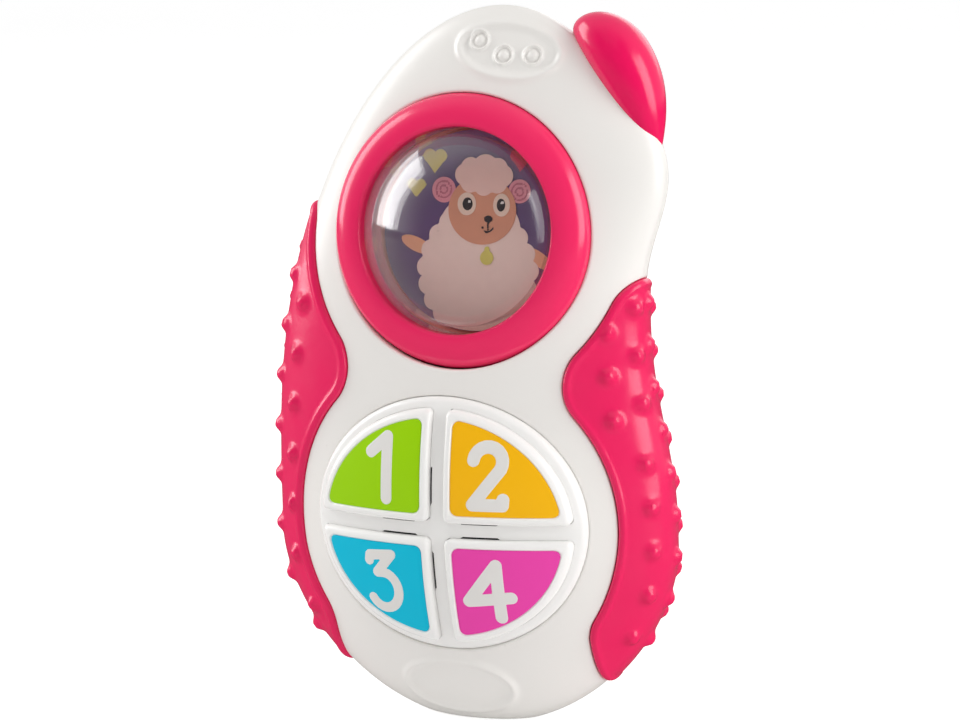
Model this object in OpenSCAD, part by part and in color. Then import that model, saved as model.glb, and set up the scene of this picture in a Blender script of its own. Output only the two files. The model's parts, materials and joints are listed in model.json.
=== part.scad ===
// Toy cell phone for a small child: a bean-shaped two-part shell with soft side grips, a picture
// window, four press keys, a speaker and a battery box. +Z runs up the phone, the face looks to -Y.

/* [Body] */
// Height of the phone, standing
body_h = 151.6; // [148:0.2:154]
// Width of the shell at its widest
body_w = 88; // [86:1:90]
// How far the front bulges in front of the widest line
front_bulge = 16.4; // [16:0.2:17]
// How far the back bulges behind the widest line
back_bulge = 19; // [18.6:0.2:20]
// Where the back is cut flat, behind the middle of the phone
back_flat = 19.3; // [19.1:0.1:19.4]
// Height of the widest part
wide_z = 38; // [36:1:40]
// Sideways sweep of the top
top_sweep = 7; // [6:0.5:9]
// Extra width of the right shoulder under the antenna
shoulder = 7; // [6:0.5:8]
// Depth of the waist in the right side
waist = 3.8; // [0:0.2:4]
// Thickness of the shell walls
wall = 2.6; // [2.5:0.1:2.8]

/* [Window] */
// Outer radius of the window ring
ring_r = 28.6; // [28:0.1:29]
// Inner radius of the window ring
window_r = 21.5; // [21.3:0.1:21.8]
// Height of the window's centre
window_z = 105.2; // [104.8:0.2:105.6]
// How far the window's lip lies in front of the middle
window_front = 11.2; // [11:0.1:11.6]
// Upward tilt of the window
window_tilt = 6.2; // [5:0.2:7]
// Height of the clear dome
dome_h = 10.2; // [7:0.2:11]

/* [Keypad] */
// Half width of the keypad
pad_half_w = 30.5; // [30:0.1:30.8]
// Half height of the keypad
pad_half_h = 27; // [26.6:0.1:27.2]
// Height of the keypad's centre
pad_z = 44.2; // [44:0.1:44.6]
// How far the cross groove lies in front of the middle
pad_front = 17.3; // [17:0.1:17.6]
// Downward tilt of the keypad
pad_tilt = 3.3; // [3:0.1:3.6]
// Radius of the keypad's domed face
pad_dome_r = 80; // [76:1:90]
// Width of the cross groove
groove_w = 3.4; // [3:0.1:3.6]
// How far the keys stand above the groove
key_rise = 1.9; // [1.5:0.1:2.2]
// How far a key travels when pressed
key_travel = 1.5; // [1:0.1:1.5]

/* [Grips] */
// Height of the right grip's top
grip_top_right = 97; // [95:1:99]
// Height of the left grip's top
grip_top_left = 115; // [110:1:118]
// How far the grips stand proud of the shell
grip_proud = 0.9; // [0.5:0.1:1.2]
// Radius of the grip bumps
bump_r = 2.4; // [2:0.1:2.6]

/* [Power] */
// Radius of one cell
cell_r = 5.25; // [5.2:0.01:5.25]
// Length of one cell
cell_h = 44.5; // [43.5:0.5:44.5]
// Travel of the power switch
switch_travel = 5; // [4:0.5:5]

/* [Hidden] */
$fn = 48;
white = [0.93, 0.92, 0.90];
pink = [0.93, 0.10, 0.36];
clear = [0.85, 0.88, 0.95, 0.35];
silver = [0.75, 0.76, 0.78];
key_colours = [[0.51, 0.78, 0.02], [0.97, 0.70, 0.08], [0.07, 0.72, 0.81], [0.86, 0.27, 0.62]];

// Clearance between pieces that are fitted together, and between pieces that slide
fit = 0.12;
slide = 0.25;

// The shell's cross-section changes with height between two rounded poles
foot_pole = -1.6;
front_peak_z = 35;
side_powers = [1.66, 2.66];
front_powers = [2.6, 1.25];
back_square = 2.35;
sweep_z = 64;
shoulder_z = 94;
waist_z = [44, 118];
lean_z = 85;
lean_mid = 1;
lean_foot = 4.6;
lean_top = 3;
split_behind = 1.5;
ring_count = 24;
ring_points = 36;

grip_depth = 1.1;
grip_corner = 10;
grip_inner = 20;
grip_low_x = 29.3;
grip_low_z = 26;
keypad_clear_r = 36.2;
window_clear_r = 35.5;

// Columns of bumps: angle from the widest line (forwards is negative), lowest height, pitch and number
right_bumps = [[-31, 67.3, 9.1, 3], [-18, 21.3, 9.2, 5], [-12, 70.4, 9.9, 3], [3, 19.8, 8.9, 9],
    [19, 24.8, 9.2, 8], [36, 29.2, 9.2, 7]];
left_bumps = [[-30, 23.7, 10.8, 7], [-13, 18.5, 10.8, 8], [3, 23.9, 10.8, 8], [19, 29.3, 10.8, 7],
    [36, 34.6, 10.8, 6]];

ring_rise = 6.3;
dome_wall = 1.4;
dome_seat = -0.5;
dome_skirt = 4.7;
cup_floor = -7.5;
window_screw_r = 25;

plate_t = 2.2;
plate_back = -13.4;
board_front = plate_back - 0.1;
board_t = 1.6;
board_back = board_front - board_t;
rim_w = 2;
ear_x = 25.5;
ear_y = 19.5;
plunger_end = -9.4;
key_middle = [12.5, 11];

door_half_w = 16;
door_low = 12;
door_high = 76;
door_t = 1.6;
door_screw_z = 16;
box_low = 23;
box_high = 74;
box_half_w = 11.2;
box_wall = 1.4;
box_floor_y = 5.2;
cell_y = back_flat - door_t - 0.3 - cell_r;
cell_x = 5.6;
cell_z = box_low + 5.2;

speaker_z = 108;
speaker_r = 16;
speaker_y = 11.4;
switch_z = 83.5;
case_screw_spots = [[-21.5, 77], [21.5, 77], [-21, 15], [21, 15], [6, 141.5]];

// ---- The body's form ----

function share(z, peak, low, top, powers) =
    sqrt(max(0, 1 - (z > peak ? pow((z - peak) / (top - peak), powers[1])
                              : pow((peak - z) / (peak - low), powers[0]))));
function lean_y(z) =
    lean_mid + (z > lean_z ? lean_top * pow((z - lean_z) / (body_h - lean_z), 2)
                           : lean_foot * pow((lean_z - z) / lean_z, 2));
function sweep_x(z) = z > sweep_z ? top_sweep * pow((z - sweep_z) / (body_h - sweep_z), 2) : 0;
// A smooth rise from 0 to 1 and back to 0 between two heights
function swell(z, from, to) = z > from && z < to ? pow(sin(180 * (z - from) / (to - from)), 2) : 0;
function right_extra(z) =
    shoulder * swell(z, shoulder_z, body_h) - waist * swell(z, waist_z[0], waist_z[1]);
function signed_power(v, p) = sign(v) * pow(abs(v), p);

// One point of the cross-section at height z and angle a, for a form grown by d
function body_point(z, a, d, low, top) =
    let (half_w = (body_w / 2 + d) * share(z, wide_z, low, top, side_powers)
                + (cos(a) > 0 ? right_extra(z) : 0),
         front = (front_bulge + d) * share(z, front_peak_z, low, top, front_powers),
         back = (back_bulge + d) * share(z, wide_z, low, top, side_powers),
         bend = a < 180 ? 2 / back_square : 1)
    [sweep_x(z) + half_w * signed_power(cos(a), bend),
     lean_y(z) + (a < 180 ? back : front) * signed_power(sin(a), bend),
     z];
function skin_point(z, a, d) = body_point(z, a, d, foot_pole - d, body_h + d);

// A closed form through rings of body points, cut flat at the back
module body_form(d, low, top, flat_y) {
    points = [for (i = [0 : ring_count - 1])
        let (z = low + (top - low) * (1 - cos(180 * (i + 0.25) / (ring_count - 0.5))) / 2)
        for (j = [0 : ring_points - 1]) body_point(z, 360 * j / ring_points, d, low, top)];
    sides = [for (i = [0 : ring_count - 2], j = [0 : ring_points - 1])
        let (a = i * ring_points + j,
             b = i * ring_points + (j + 1) % ring_points)
        each [[a, a + ring_points, b], [b, a + ring_points, b + ring_points]]];
    ends = [[for (j = [0 : ring_points - 1]) j],
            [for (j = [ring_points - 1 : -1 : 0]) (ring_count - 1) * ring_points + j]];
    intersection() {
        polyhedron(points, concat(sides, ends));
        translate([-100, -100, -50]) cube([200, 100 + flat_y, 250]);
    }
}

module skin(d = 0) {
    body_form(d, foot_pole - d, body_h + d, back_flat + d);
}

module cavity() {
    body_form(-wall, wall, body_h - wall, back_flat - wall);
}

// Everything in front of the curved parting surface, moved back by the given step
module front_side(step) {
    edge = [for (z = [-10 : 5 : 160]) [lean_y(min(max(z, 0), body_h)) + split_behind + step, z]];
    rotate([90, 0, 90]) linear_extrude(240, center = true)
        polygon(concat([[-80, -10]], edge, [[-80, 160]]));
}

module above_ground() {
    translate([-100, -100, 0]) cube([200, 200, 200]);
}

// Puts a shape drawn in front view, x across and y up, through the whole depth of the phone
module through_depth() {
    rotate([90, 0, 0]) linear_extrude(160, center = true) children();
}

// Gives its children as one surface mesh
module single_mesh() {
    resize([0, 0, 0]) children();
}

// ---- Places ----

module at_window() {
    translate([sweep_x(window_z), ring_rise - window_front, window_z]) rotate([90 - window_tilt, 0, 0])
        children();
}

module at_keypad() {
    translate([0, -pad_front, pad_z]) rotate([90 + pad_tilt, 0, 0]) children();
}

module facing_back(x, y, z) {
    translate([x, y, z]) rotate([-90, 0, 0]) children();
}

// ---- Grips ----

module grip_outline(side, grow) {
    top = side > 0 ? grip_top_right : grip_top_left;
    scale([side, 1]) offset(r = grow + grip_corner) offset(delta = -grip_corner) difference() {
        union() {
            translate([grip_inner, grip_low_z]) square([60, top - grip_low_z]);
            translate([grip_low_x, -20]) square([60, grip_low_z + 21]);
        }
        translate([0, pad_z]) circle(keypad_clear_r);
        translate([side * sweep_x(window_z), window_z]) circle(window_clear_r);
    }
}

module grip_recess(side) {
    intersection() {
        difference() {
            skin(4);
            skin(-grip_depth - fit);
        }
        through_depth() grip_outline(side, fit);
    }
}

// Bumps in staggered columns round the side
module grip_bumps(side) {
    for (column = side > 0 ? right_bumps : left_bumps, i = [0 : column[3] - 1])
        translate(skin_point(column[1] + i * column[2], side > 0 ? (column[0] + 360) % 360 : 180 - column[0],
                             grip_proud - 0.9))
            sphere(bump_r, $fn = 6);
}

module grip(side) {
    color(pink) single_mesh() intersection() {
        union() {
            difference() {
                skin(grip_proud);
                skin(-grip_depth);
            }
            difference() {
                grip_bumps(side);
                skin(-grip_depth);
            }
        }
        through_depth() grip_outline(side, 0);
    }
}

module left_grip() {
    grip(-1);
}

module right_grip() {
    grip(1);
}

// ---- Antenna ----

// The horn's foot and tip lie on its seam with the shell; it is fattest towards the tip
antenna_low = [41.4, 119.2];
antenna_top = [23.7, 144.2];
antenna_out = [0.815, 0.58];
antenna_bulge = 11.4;
antenna_fat = 0.74;
antenna_fall = 0.335;
antenna_steps = 10;

function antenna_width(t) =
    antenna_bulge * (t < antenna_fat ? sin(90 * t / antenna_fat)
                                     : sqrt(1 - pow((t - antenna_fat) / antenna_fall, 2)));
function antenna_spot(t) =
    let (flat = antenna_low + t * (antenna_top - antenna_low) + 0.5 * antenna_width(t) * antenna_out)
    [flat[0], lean_y(flat[1]) + 1.5, flat[1]];

module antenna_pegs(r) {
    for (t = [0.35, 0.75])
        translate(antenna_spot(t) - [0, 2.3, 0]) rotate([0, 234, 0]) cylinder(12, r, r, $fn = 16);
}

module antenna() {
    color(pink) single_mesh() union() {
        difference() {
            for (i = [0 : antenna_steps - 1])
                hull() for (k = [i, i + 1])
                    let (t = 0.04 + k / antenna_steps)
                        translate(antenna_spot(t)) scale([1, 1.15, 1])
                            sphere(0.55 * antenna_width(t), $fn = 24);
            skin(fit);
        }
        antenna_pegs(1.2);
    }
}

// ---- Shells ----

module oval_line(spot, half_w, half_h, turn, h) {
    translate([spot[0], 2, spot[1]]) rotate([90, turn, 0]) linear_extrude(40) difference() {
        scale([half_w, half_h]) circle(1, $fn = 20);
        scale([half_w - h, half_h - h]) circle(1, $fn = 20);
    }
}

// Raised lines on the shell: an oval with three ring marks at the top, a plain oval at the foot
module relief() {
    intersection() {
        difference() {
            skin(0.35);
            skin(-0.5);
        }
        union() {
            oval_line([10.3, 142.5], 11.7, 5.8, 6, 0.9);
            for (spot = [[3.6, 144.6], [9.3, 141.7], [15.6, 141.7]])
                oval_line(spot, 2.3, 2.2, 0, 0.55);
            oval_line([-0.2, 8.9], 12.8, 6.4, 0, 0.9);
        }
    }
}

module case_posts(r) {
    for (spot = case_screw_spots)
        facing_back(spot[0], -60, spot[1]) cylinder(120, r, r, $fn = 16);
}

module keypad_posts(r, from_z, to_z) {
    at_keypad() for (x = [-ear_x, ear_x], y = [-ear_y, ear_y])
        translate([x, y, from_z]) cylinder(to_z - from_z, r, r, $fn = 16);
}

module front_shell() {
    color(white) single_mesh() difference() {
        intersection() {
            union() {
                difference() {
                    skin();
                    cavity();
                }
                relief();
                intersection() {
                    case_posts(3.2);
                    skin(-1);
                }
                intersection() {
                    keypad_posts(3.2, plate_back + 1.3, 4);
                    skin(-1);
                }
            }
            front_side(-0.06);
            above_ground();
        }
        at_window() translate([0, 0, -12]) cylinder(30, ring_r + 0.15, ring_r + 0.15, $fn = 60);
        at_keypad() translate([0, 0, -14]) linear_extrude(30)
            oval(pad_half_w + fit, pad_half_h + fit);
        keypad_posts(1.3, -20, -9.2);
        grip_recess(-1);
        grip_recess(1);
        antenna_pegs(1.35);
        for (spot = case_screw_spots)
            facing_back(spot[0], lean_y(spot[1]) + split_behind - 9, spot[1]) cylinder(30, 1.3, 1.3, $fn = 20);
    }
}

module speaker_holes() {
    for (i = [-2 : 2], j = [-2 : 2])
        let (x = 5 * (i + j / 2), z = 4.33 * j)
            if (norm([x, z]) < 11)
                facing_back(x, 5, speaker_z + z) cylinder(20, 1.2, 1.2, $fn = 8);
}

module door_outline(grow) {
    offset(r = 4 + grow) translate([-door_half_w + 4, door_low + 4])
        square([2 * door_half_w - 8, door_high - door_low - 8]);
}

module back_features() {
    difference() {
        facing_back(0, speaker_y - 2.2, speaker_z) cylinder(20, speaker_r + 1.8, speaker_r + 1.8);
        facing_back(0, 0, speaker_z) cylinder(40, speaker_r + 0.2, speaker_r + 0.2);
    }
    for (x = [-19.6, 19.6])
        facing_back(x, speaker_y - 3, speaker_z) cylinder(20, 2, 2, $fn = 20);
    facing_back(0, 9, door_screw_z) cylinder(12, 4.8, 4.8, $fn = 20);
    case_posts(3.6);
}

module back_shell() {
    color(white) single_mesh() difference() {
        intersection() {
            union() {
                difference() {
                    skin();
                    cavity();
                }
                intersection() {
                    back_features();
                    skin(-1);
                }
            }
            difference() {
                above_ground();
                front_side(0.06);
            }
        }
        grip_recess(-1);
        grip_recess(1);
        speaker_holes();
        for (x = [-19.6, 19.6])
            facing_back(x, 0, speaker_z) cylinder(13, 0.9, 0.9, $fn = 16);
        translate([0, back_flat - door_t - fit, 0]) mirror([0, 1, 0]) rotate([90, 0, 0])
            linear_extrude(10) door_outline(slide);
        translate([-box_half_w - 1.2, 5, box_low]) cube([2 * box_half_w + 2.4, 20, box_high - box_low]);
        facing_back(0, 8, door_screw_z) cylinder(9, 1.2, 1.2, $fn = 16);
        facing_back(0, back_flat - 2.9, door_screw_z) cylinder(8, 3.6, 3.6, $fn = 24);
        for (spot = case_screw_spots) {
            facing_back(spot[0], 0, spot[1]) cylinder(40, 1.4, 1.4, $fn = 20);
            facing_back(spot[0], lean_y(spot[1]) + split_behind + 2.5, spot[1])
                cylinder(40, 2.6, 2.6, $fn = 24);
        }
        translate([-9, back_flat - 1.4, switch_z - 4]) cube([18, 10, 8]);
        translate([-5.6, 10, switch_z - 2.3]) cube([11.2, 10, 4.6]);
    }
}

// ---- Window ----

module at_window_screws() {
    for (a = [90, 210, 330])
        rotate([0, 0, a]) translate([window_screw_r, 0, 0]) children();
}

module ring_section() {
    crest_r = window_r + 0.9;
    shoulder_h = 1.6;
    outer = [for (a = [0 : 7.5 : 90])
        [crest_r + (ring_r - crest_r) * cos(a), shoulder_h + (ring_rise - shoulder_h) * sin(a)]];
    inner = [for (a = [105 : 15 : 180]) [crest_r + 0.9 * cos(a), ring_rise - 0.9 + 0.9 * sin(a)]];
    polygon(concat([[window_r, dome_seat + 0.1], [ring_r, dome_seat + 0.1]], outer, inner));
    translate([ring_r - 1.6, -4.6]) square([1.6, 5]);
    translate([ring_r - 1.6, -4.6]) square([4, 1.2]);
}

module window_ring() {
    color(pink) at_window() difference() {
        rotate_extrude($fn = 96) ring_section();
        translate([0, 0, -1]) at_window_screws() cylinder(4.5, 1.05, 1.05);
    }
}

module dome_lens() {
    base_r = window_r - 0.2;
    dome_r = (base_r * base_r + dome_h * dome_h) / (2 * dome_h);
    middle = dome_seat + dome_skirt + dome_h - dome_r;
    color(clear) at_window() difference() {
        union() {
            intersection() {
                translate([0, 0, middle]) sphere(dome_r, $fn = 96);
                translate([0, 0, dome_seat - 0.6]) cylinder(30, base_r, base_r);
            }
            translate([0, 0, dome_seat - 1.1]) cylinder(1.1, 26.4, 26.4);
        }
        intersection() {
            translate([0, 0, middle]) sphere(dome_r - dome_wall, $fn = 96);
            translate([0, 0, -5]) cylinder(30, window_r - 1.5, window_r - 1.5);
        }
        translate([0, 0, -3]) at_window_screws() cylinder(4, 1.3, 1.3);
    }
}

module picture_card() {
    color([0.42, 0.33, 0.62]) at_window() translate([0, 0, cup_floor + 1.3])
        cylinder(0.5, window_r - 0.4, window_r - 0.4);
}

module picture_cup() {
    lip_z = dome_seat - 1.2;
    color([0.80, 0.42, 0.40]) at_window() difference() {
        union() {
            translate([0, 0, cup_floor]) cylinder(lip_z - cup_floor, window_r + 1.4, window_r + 1.4);
            translate([0, 0, lip_z - 1.2]) cylinder(1.2, 26.4, 26.4);
        }
        translate([0, 0, cup_floor + 1.2]) cylinder(10, window_r, window_r);
        translate([0, 0, -5]) at_window_screws() cylinder(6, 1.15, 1.15);
    }
}

module window_screws() {
    color(silver) at_window() translate([0, 0, dome_seat - 2.45]) at_window_screws() {
        translate([0, 0, -1.1]) cylinder(1.1, 1.9, 1.9);
        translate([0, 0, -0.1]) cylinder(5.4, 1, 1);
    }
}

// ---- Keypad ----

module oval(half_w, half_h) {
    polygon([for (a = [0 : 5 : 355]) [half_w * cos(a), half_h * sin(a)]]);
}

// A quarter of the keypad between the groove and the rim, shrunk by the given margin
module key_outline(margin) {
    half_w = pad_half_w - rim_w - margin;
    half_h = pad_half_h - rim_w - margin;
    inner = groove_w / 2 + margin;
    from = asin(inner / half_h);
    to = acos(inner / half_w);
    polygon(concat([[inner, inner]],
        [for (i = [0 : 12]) let (a = from + (to - from) * i / 12) [half_w * cos(a), half_h * sin(a)]]));
}

// The space under the keypad's domed face, raised or sunk by the given height
module under_face(height) {
    translate([0, 0, -pad_dome_r]) sphere(pad_dome_r + height, $fn = 128);
}

// Signs of the four quarters, keys 1 to 4
function quarter(n) = [n % 2 == 1 ? -1 : 1, n < 3 ? 1 : -1];

module in_quarter(n) {
    mirror([quarter(n)[0] < 0 ? 1 : 0, 0, 0]) mirror([0, quarter(n)[1] < 0 ? 1 : 0, 0]) children();
}

module keypad_ears(r) {
    for (x = [-ear_x, ear_x], y = [-ear_y, ear_y])
        translate([x, y]) circle(r, $fn = 24);
}

module keypad_plate() {
    color(white) at_keypad() union() {
        difference() {
            intersection() {
                translate([0, 0, plate_back]) linear_extrude(20) oval(pad_half_w, pad_half_h);
                under_face(0);
            }
            intersection() {
                translate([0, 0, plate_back - 1]) linear_extrude(20)
                    oval(pad_half_w - 1.2, pad_half_h - 1.2);
                under_face(-plate_t);
            }
            for (n = [1 : 4])
                in_quarter(n) translate([0, 0, -10]) linear_extrude(20) key_outline(-slide);
        }
        translate([0, 0, plate_back]) linear_extrude(1.2) difference() {
            union() {
                oval(pad_half_w + 2, pad_half_h + 2);
                keypad_ears(3.2);
            }
            oval(pad_half_w - 1.2, pad_half_h - 1.2);
            keypad_ears(1.3);
        }
    }
}

module key(n) {
    color(white) at_keypad() in_quarter(n) union() {
        difference() {
            intersection() {
                translate([0, 0, -8]) linear_extrude(20) key_outline(0);
                under_face(key_rise);
            }
            under_face(-plate_t - 1.4);
            difference() {
                translate([0, 0, -8]) linear_extrude(20) key_outline(1.6);
                under_face(key_rise - 0.4);
            }
        }
        intersection() {
            translate([0, 0, -10]) linear_extrude(20) key_outline(-0.6);
            difference() {
                under_face(-plate_t - 0.15);
                under_face(-plate_t - 1.4);
            }
        }
        intersection() {
            translate([key_middle[0], key_middle[1], plunger_end]) cylinder(8, 2, 2);
            under_face(-plate_t - 1);
        }
    }
}

module label(n) {
    color(key_colours[n - 1]) at_keypad() in_quarter(n) intersection() {
        translate([0, 0, -8]) linear_extrude(20) key_outline(1.7);
        difference() {
            under_face(key_rise - 0.15);
            under_face(key_rise - 0.39);
        }
    }
}

module key_1() {
    key(1);
}

module key_2() {
    key(2);
}

module key_3() {
    key(3);
}

module key_4() {
    key(4);
}

module label_1() {
    label(1);
}

module label_2() {
    label(2);
}

module label_3() {
    label(3);
}

module label_4() {
    label(4);
}

module key_membrane() {
    color([0.75, 0.75, 0.72]) at_keypad() difference() {
        union() {
            translate([0, 0, plate_back]) linear_extrude(0.8) oval(pad_half_w - 1.6, pad_half_h - 1.6);
            for (n = [1 : 4])
                in_quarter(n) translate([key_middle[0], key_middle[1], plate_back + 0.7])
                    cylinder(plunger_end - key_travel - 0.1 - plate_back - 0.7, 4, 3);
        }
        for (n = [1 : 4])
            in_quarter(n) translate([key_middle[0], key_middle[1], plate_back - 1]) cylinder(2.2, 2.6, 2.6);
    }
}

module contact_pills() {
    color([0.12, 0.12, 0.13]) at_keypad() for (n = [1 : 4])
        in_quarter(n) translate([key_middle[0], key_middle[1], plate_back + 0.55]) cylinder(0.6, 2, 2);
}

module main_board() {
    color([0.10, 0.42, 0.24]) at_keypad() translate([0, 0, board_back]) linear_extrude(board_t)
        difference() {
            union() {
                oval(pad_half_w + 1.5, pad_half_h + 1.5);
                keypad_ears(3);
            }
            keypad_ears(1.3);
        }
}

module sound_chip() {
    color([0.08, 0.08, 0.09]) at_keypad() intersection() {
        translate([-14, 8, board_back - 1.5]) cylinder(1.45, 6, 6);
        translate([-14, 8, board_back + 10]) sphere(11.6, $fn = 96);
    }
}

module board_parts() {
    color([0.15, 0.20, 0.45]) at_keypad() {
        translate([14, 10, board_back - 5.5]) cylinder(5.4, 2.5, 2.5);
        translate([-4, -12, board_back - 3.1]) cube([8, 4, 3]);
        for (i = [0 : 3])
            translate([8 + 3 * i, -6, board_back - 1]) cube([1.2, 2, 0.9]);
    }
}

module keypad_screws() {
    color(silver) at_keypad() for (x = [-ear_x, ear_x], y = [-ear_y, ear_y])
        translate([x, y, board_back]) {
            translate([0, 0, -1.5]) cylinder(1.4, 2.2, 2.2);
            translate([0, 0, -0.2]) cylinder(5.6, 1.15, 1.15);
        }
}

// ---- Power ----

module battery_box() {
    color([0.90, 0.89, 0.87]) difference() {
        translate([-box_half_w - box_wall, box_floor_y, box_low - box_wall])
            cube([2 * (box_half_w + box_wall), back_flat - wall - 0.4 - box_floor_y,
                  box_high - box_low + 2 * box_wall]);
        translate([-box_half_w, box_floor_y + 1.3, box_low])
            cube([2 * box_half_w, 20, box_high - box_low]);
    }
}

module cell(side) {
    translate([side * cell_x, cell_y, cell_z]) union() {
        color([0.18, 0.42, 0.75]) cylinder(cell_h - 0.8, cell_r, cell_r);
        color(silver) cylinder(cell_h, 1.9, 1.9);
    }
}

module cell_left() {
    cell(-1);
}

module cell_right() {
    cell(1);
}

// Springs under the cells and flat plates at both ends of the box
module battery_contacts() {
    turns = 3;
    steps = 6;
    color(silver) {
        for (x = [-cell_x, cell_x]) {
            translate([x - 4, cell_y - 4, box_low + 0.05]) cube([8, 8, 0.5]);
            translate([x, cell_y, box_low + 0.4]) for (i = [0 : turns * steps - 1])
                hull() for (k = [i, i + 1])
                    let (a = 360 * k / steps, r = 3.6 - 0.08 * k, rise = 0.22 * k + 0.35)
                        translate([r * cos(a), r * sin(a), rise]) sphere(0.32, $fn = 6);
        }
        translate([-box_half_w + 0.5, cell_y - 4, box_high - 0.6]) cube([2 * box_half_w - 1, 8, 0.5]);
    }
}

module battery_door() {
    color(white) difference() {
        union() {
            translate([0, back_flat, 0]) rotate([90, 0, 0]) linear_extrude(door_t) door_plan();
            facing_back(0, back_flat - 2.8, door_screw_z) cylinder(2, 3.4, 3.4);
        }
        facing_back(0, back_flat - 4, door_screw_z) cylinder(8, 1.3, 1.3);
        facing_back(0, back_flat - 1.5, door_screw_z) cylinder(4, 2.5, 2.5);
    }
}

// The door's outline with true round corners
module door_plan() {
    half = door_half_w - 4;
    for (x = [-half, half], z = [door_low + 4, door_high - 4])
        translate([x, z]) circle(4);
    translate([-half, door_low]) square([2 * half, door_high - door_low]);
    translate([-door_half_w, door_low + 4]) square([2 * door_half_w, door_high - door_low - 8]);
}

module door_screw() {
    color(silver) difference() {
        union() {
            facing_back(0, back_flat - 1.45, door_screw_z) cylinder(1.2, 2.3, 2.3);
            facing_back(0, back_flat - 8.2, door_screw_z) cylinder(7, 1.1, 1.1);
        }
        translate([-3, back_flat - 0.75, door_screw_z - 0.3]) cube([6, 2, 0.6]);
        translate([-0.3, back_flat - 0.75, door_screw_z - 3]) cube([0.6, 2, 6]);
    }
}

module switch_knob() {
    rest_x = -switch_travel / 2;
    color([0.2, 0.2, 0.22]) {
        translate([rest_x - 2.8, 14.4, switch_z - 2]) cube([5.6, back_flat - 14.6, 4]);
        translate([rest_x - 5.5, 14.4, switch_z - 3.2]) cube([11, 1.4, 6.4]);
    }
}

module switch_body() {
    color(silver) difference() {
        translate([-9.5, 8.4, switch_z - 3.6]) cube([19, 5.8, 7.2]);
        translate([-8, 10, switch_z - 2]) cube([16, 8, 4]);
    }
}

// ---- Sound ----

module speaker_frame() {
    color([0.25, 0.25, 0.27]) facing_back(0, speaker_y, speaker_z) difference() {
        union() {
            translate([0, 0, -1]) cylinder(1, speaker_r, speaker_r);
            translate([0, 0, -4]) cylinder(3.1, 10, speaker_r - 1.5);
        }
        translate([0, 0, -2.8]) cylinder(2.9, 9, speaker_r - 2.2);
        translate([0, 0, -5]) cylinder(4, 5, 5);
    }
}

module speaker_cone() {
    color([0.85, 0.80, 0.70]) facing_back(0, speaker_y, speaker_z) difference() {
        union() {
            translate([0, 0, -2.6]) cylinder(2.4, 7, speaker_r - 3);
            translate([0, 0, -2.6]) cylinder(2.2, 4.8, 4.8);
        }
        translate([0, 0, -2]) cylinder(2, 7, speaker_r - 3.4);
    }
}

module speaker_magnet() {
    color(silver) facing_back(0, speaker_y - 6.8, speaker_z) cylinder(2.7, 8, 8);
}

module speaker_screws() {
    color(silver) for (x = [-19.6, 19.6])
        facing_back(x, speaker_y - 3, speaker_z) {
            translate([0, 0, -1.3]) cylinder(1.2, 2.4, 2.4);
            translate([0, 0, -0.2]) cylinder(4.5, 0.8, 0.8);
        }
}

module case_screws() {
    color(silver) for (spot = case_screw_spots)
        facing_back(spot[0], lean_y(spot[1]) + split_behind + 2.6, spot[1]) {
            cylinder(1.8, 2.4, 2.4);
            translate([0, 0, -8.6]) cylinder(8.7, 1.2, 1.2);
        }
}

// ---- Wires ----

// A wire that runs in a smooth bow between two points
module wire(from, to, bow) {
    steps = 6;
    function along(t) = from + t * (to - from) + sin(180 * t) * bow;
    for (i = [0 : steps - 1])
        hull() for (t = [i, i + 1] / steps)
            translate(along(t)) sphere(0.6, $fn = 6);
}

module battery_wires() {
    for (side = [-1, 1])
        color(side > 0 ? "red" : "black") single_mesh()
            wire([side * 15, 3.5, 62], [side * 14, 10, 76], [side * 3, 0, 0]);
}

module speaker_wires() {
    for (side = [-1, 1])
        color(side > 0 ? "yellow" : "blue") single_mesh()
            wire([side * 3, 4, 78], [side * 10.5, 6, 95], [side * 3, 0, 0]);
}

front_shell();
back_shell();
left_grip();
right_grip();
antenna();
window_ring();
dome_lens();
picture_card();
picture_cup();
window_screws();
keypad_plate();
key_1();
key_2();
key_3();
key_4();
label_1();
label_2();
label_3();
label_4();
key_membrane();
contact_pills();
main_board();
sound_chip();
board_parts();
keypad_screws();
battery_box();
cell_left();
cell_right();
battery_contacts();
battery_door();
door_screw();
switch_knob();
switch_body();
speaker_frame();
speaker_cone();
speaker_magnet();
speaker_screws();
case_screws();
battery_wires();
speaker_wires();
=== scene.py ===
"""Looks of the toy cell phone: smooth shells, bumpy grips, window with its picture, and keys.

Lengths are in millimetres until a mesh is made. +Z runs up the phone and its face looks to -Y.
"""

import json
import math

import bmesh
import bpy
import numpy as np
from mathutils import Matrix, Vector


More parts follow.
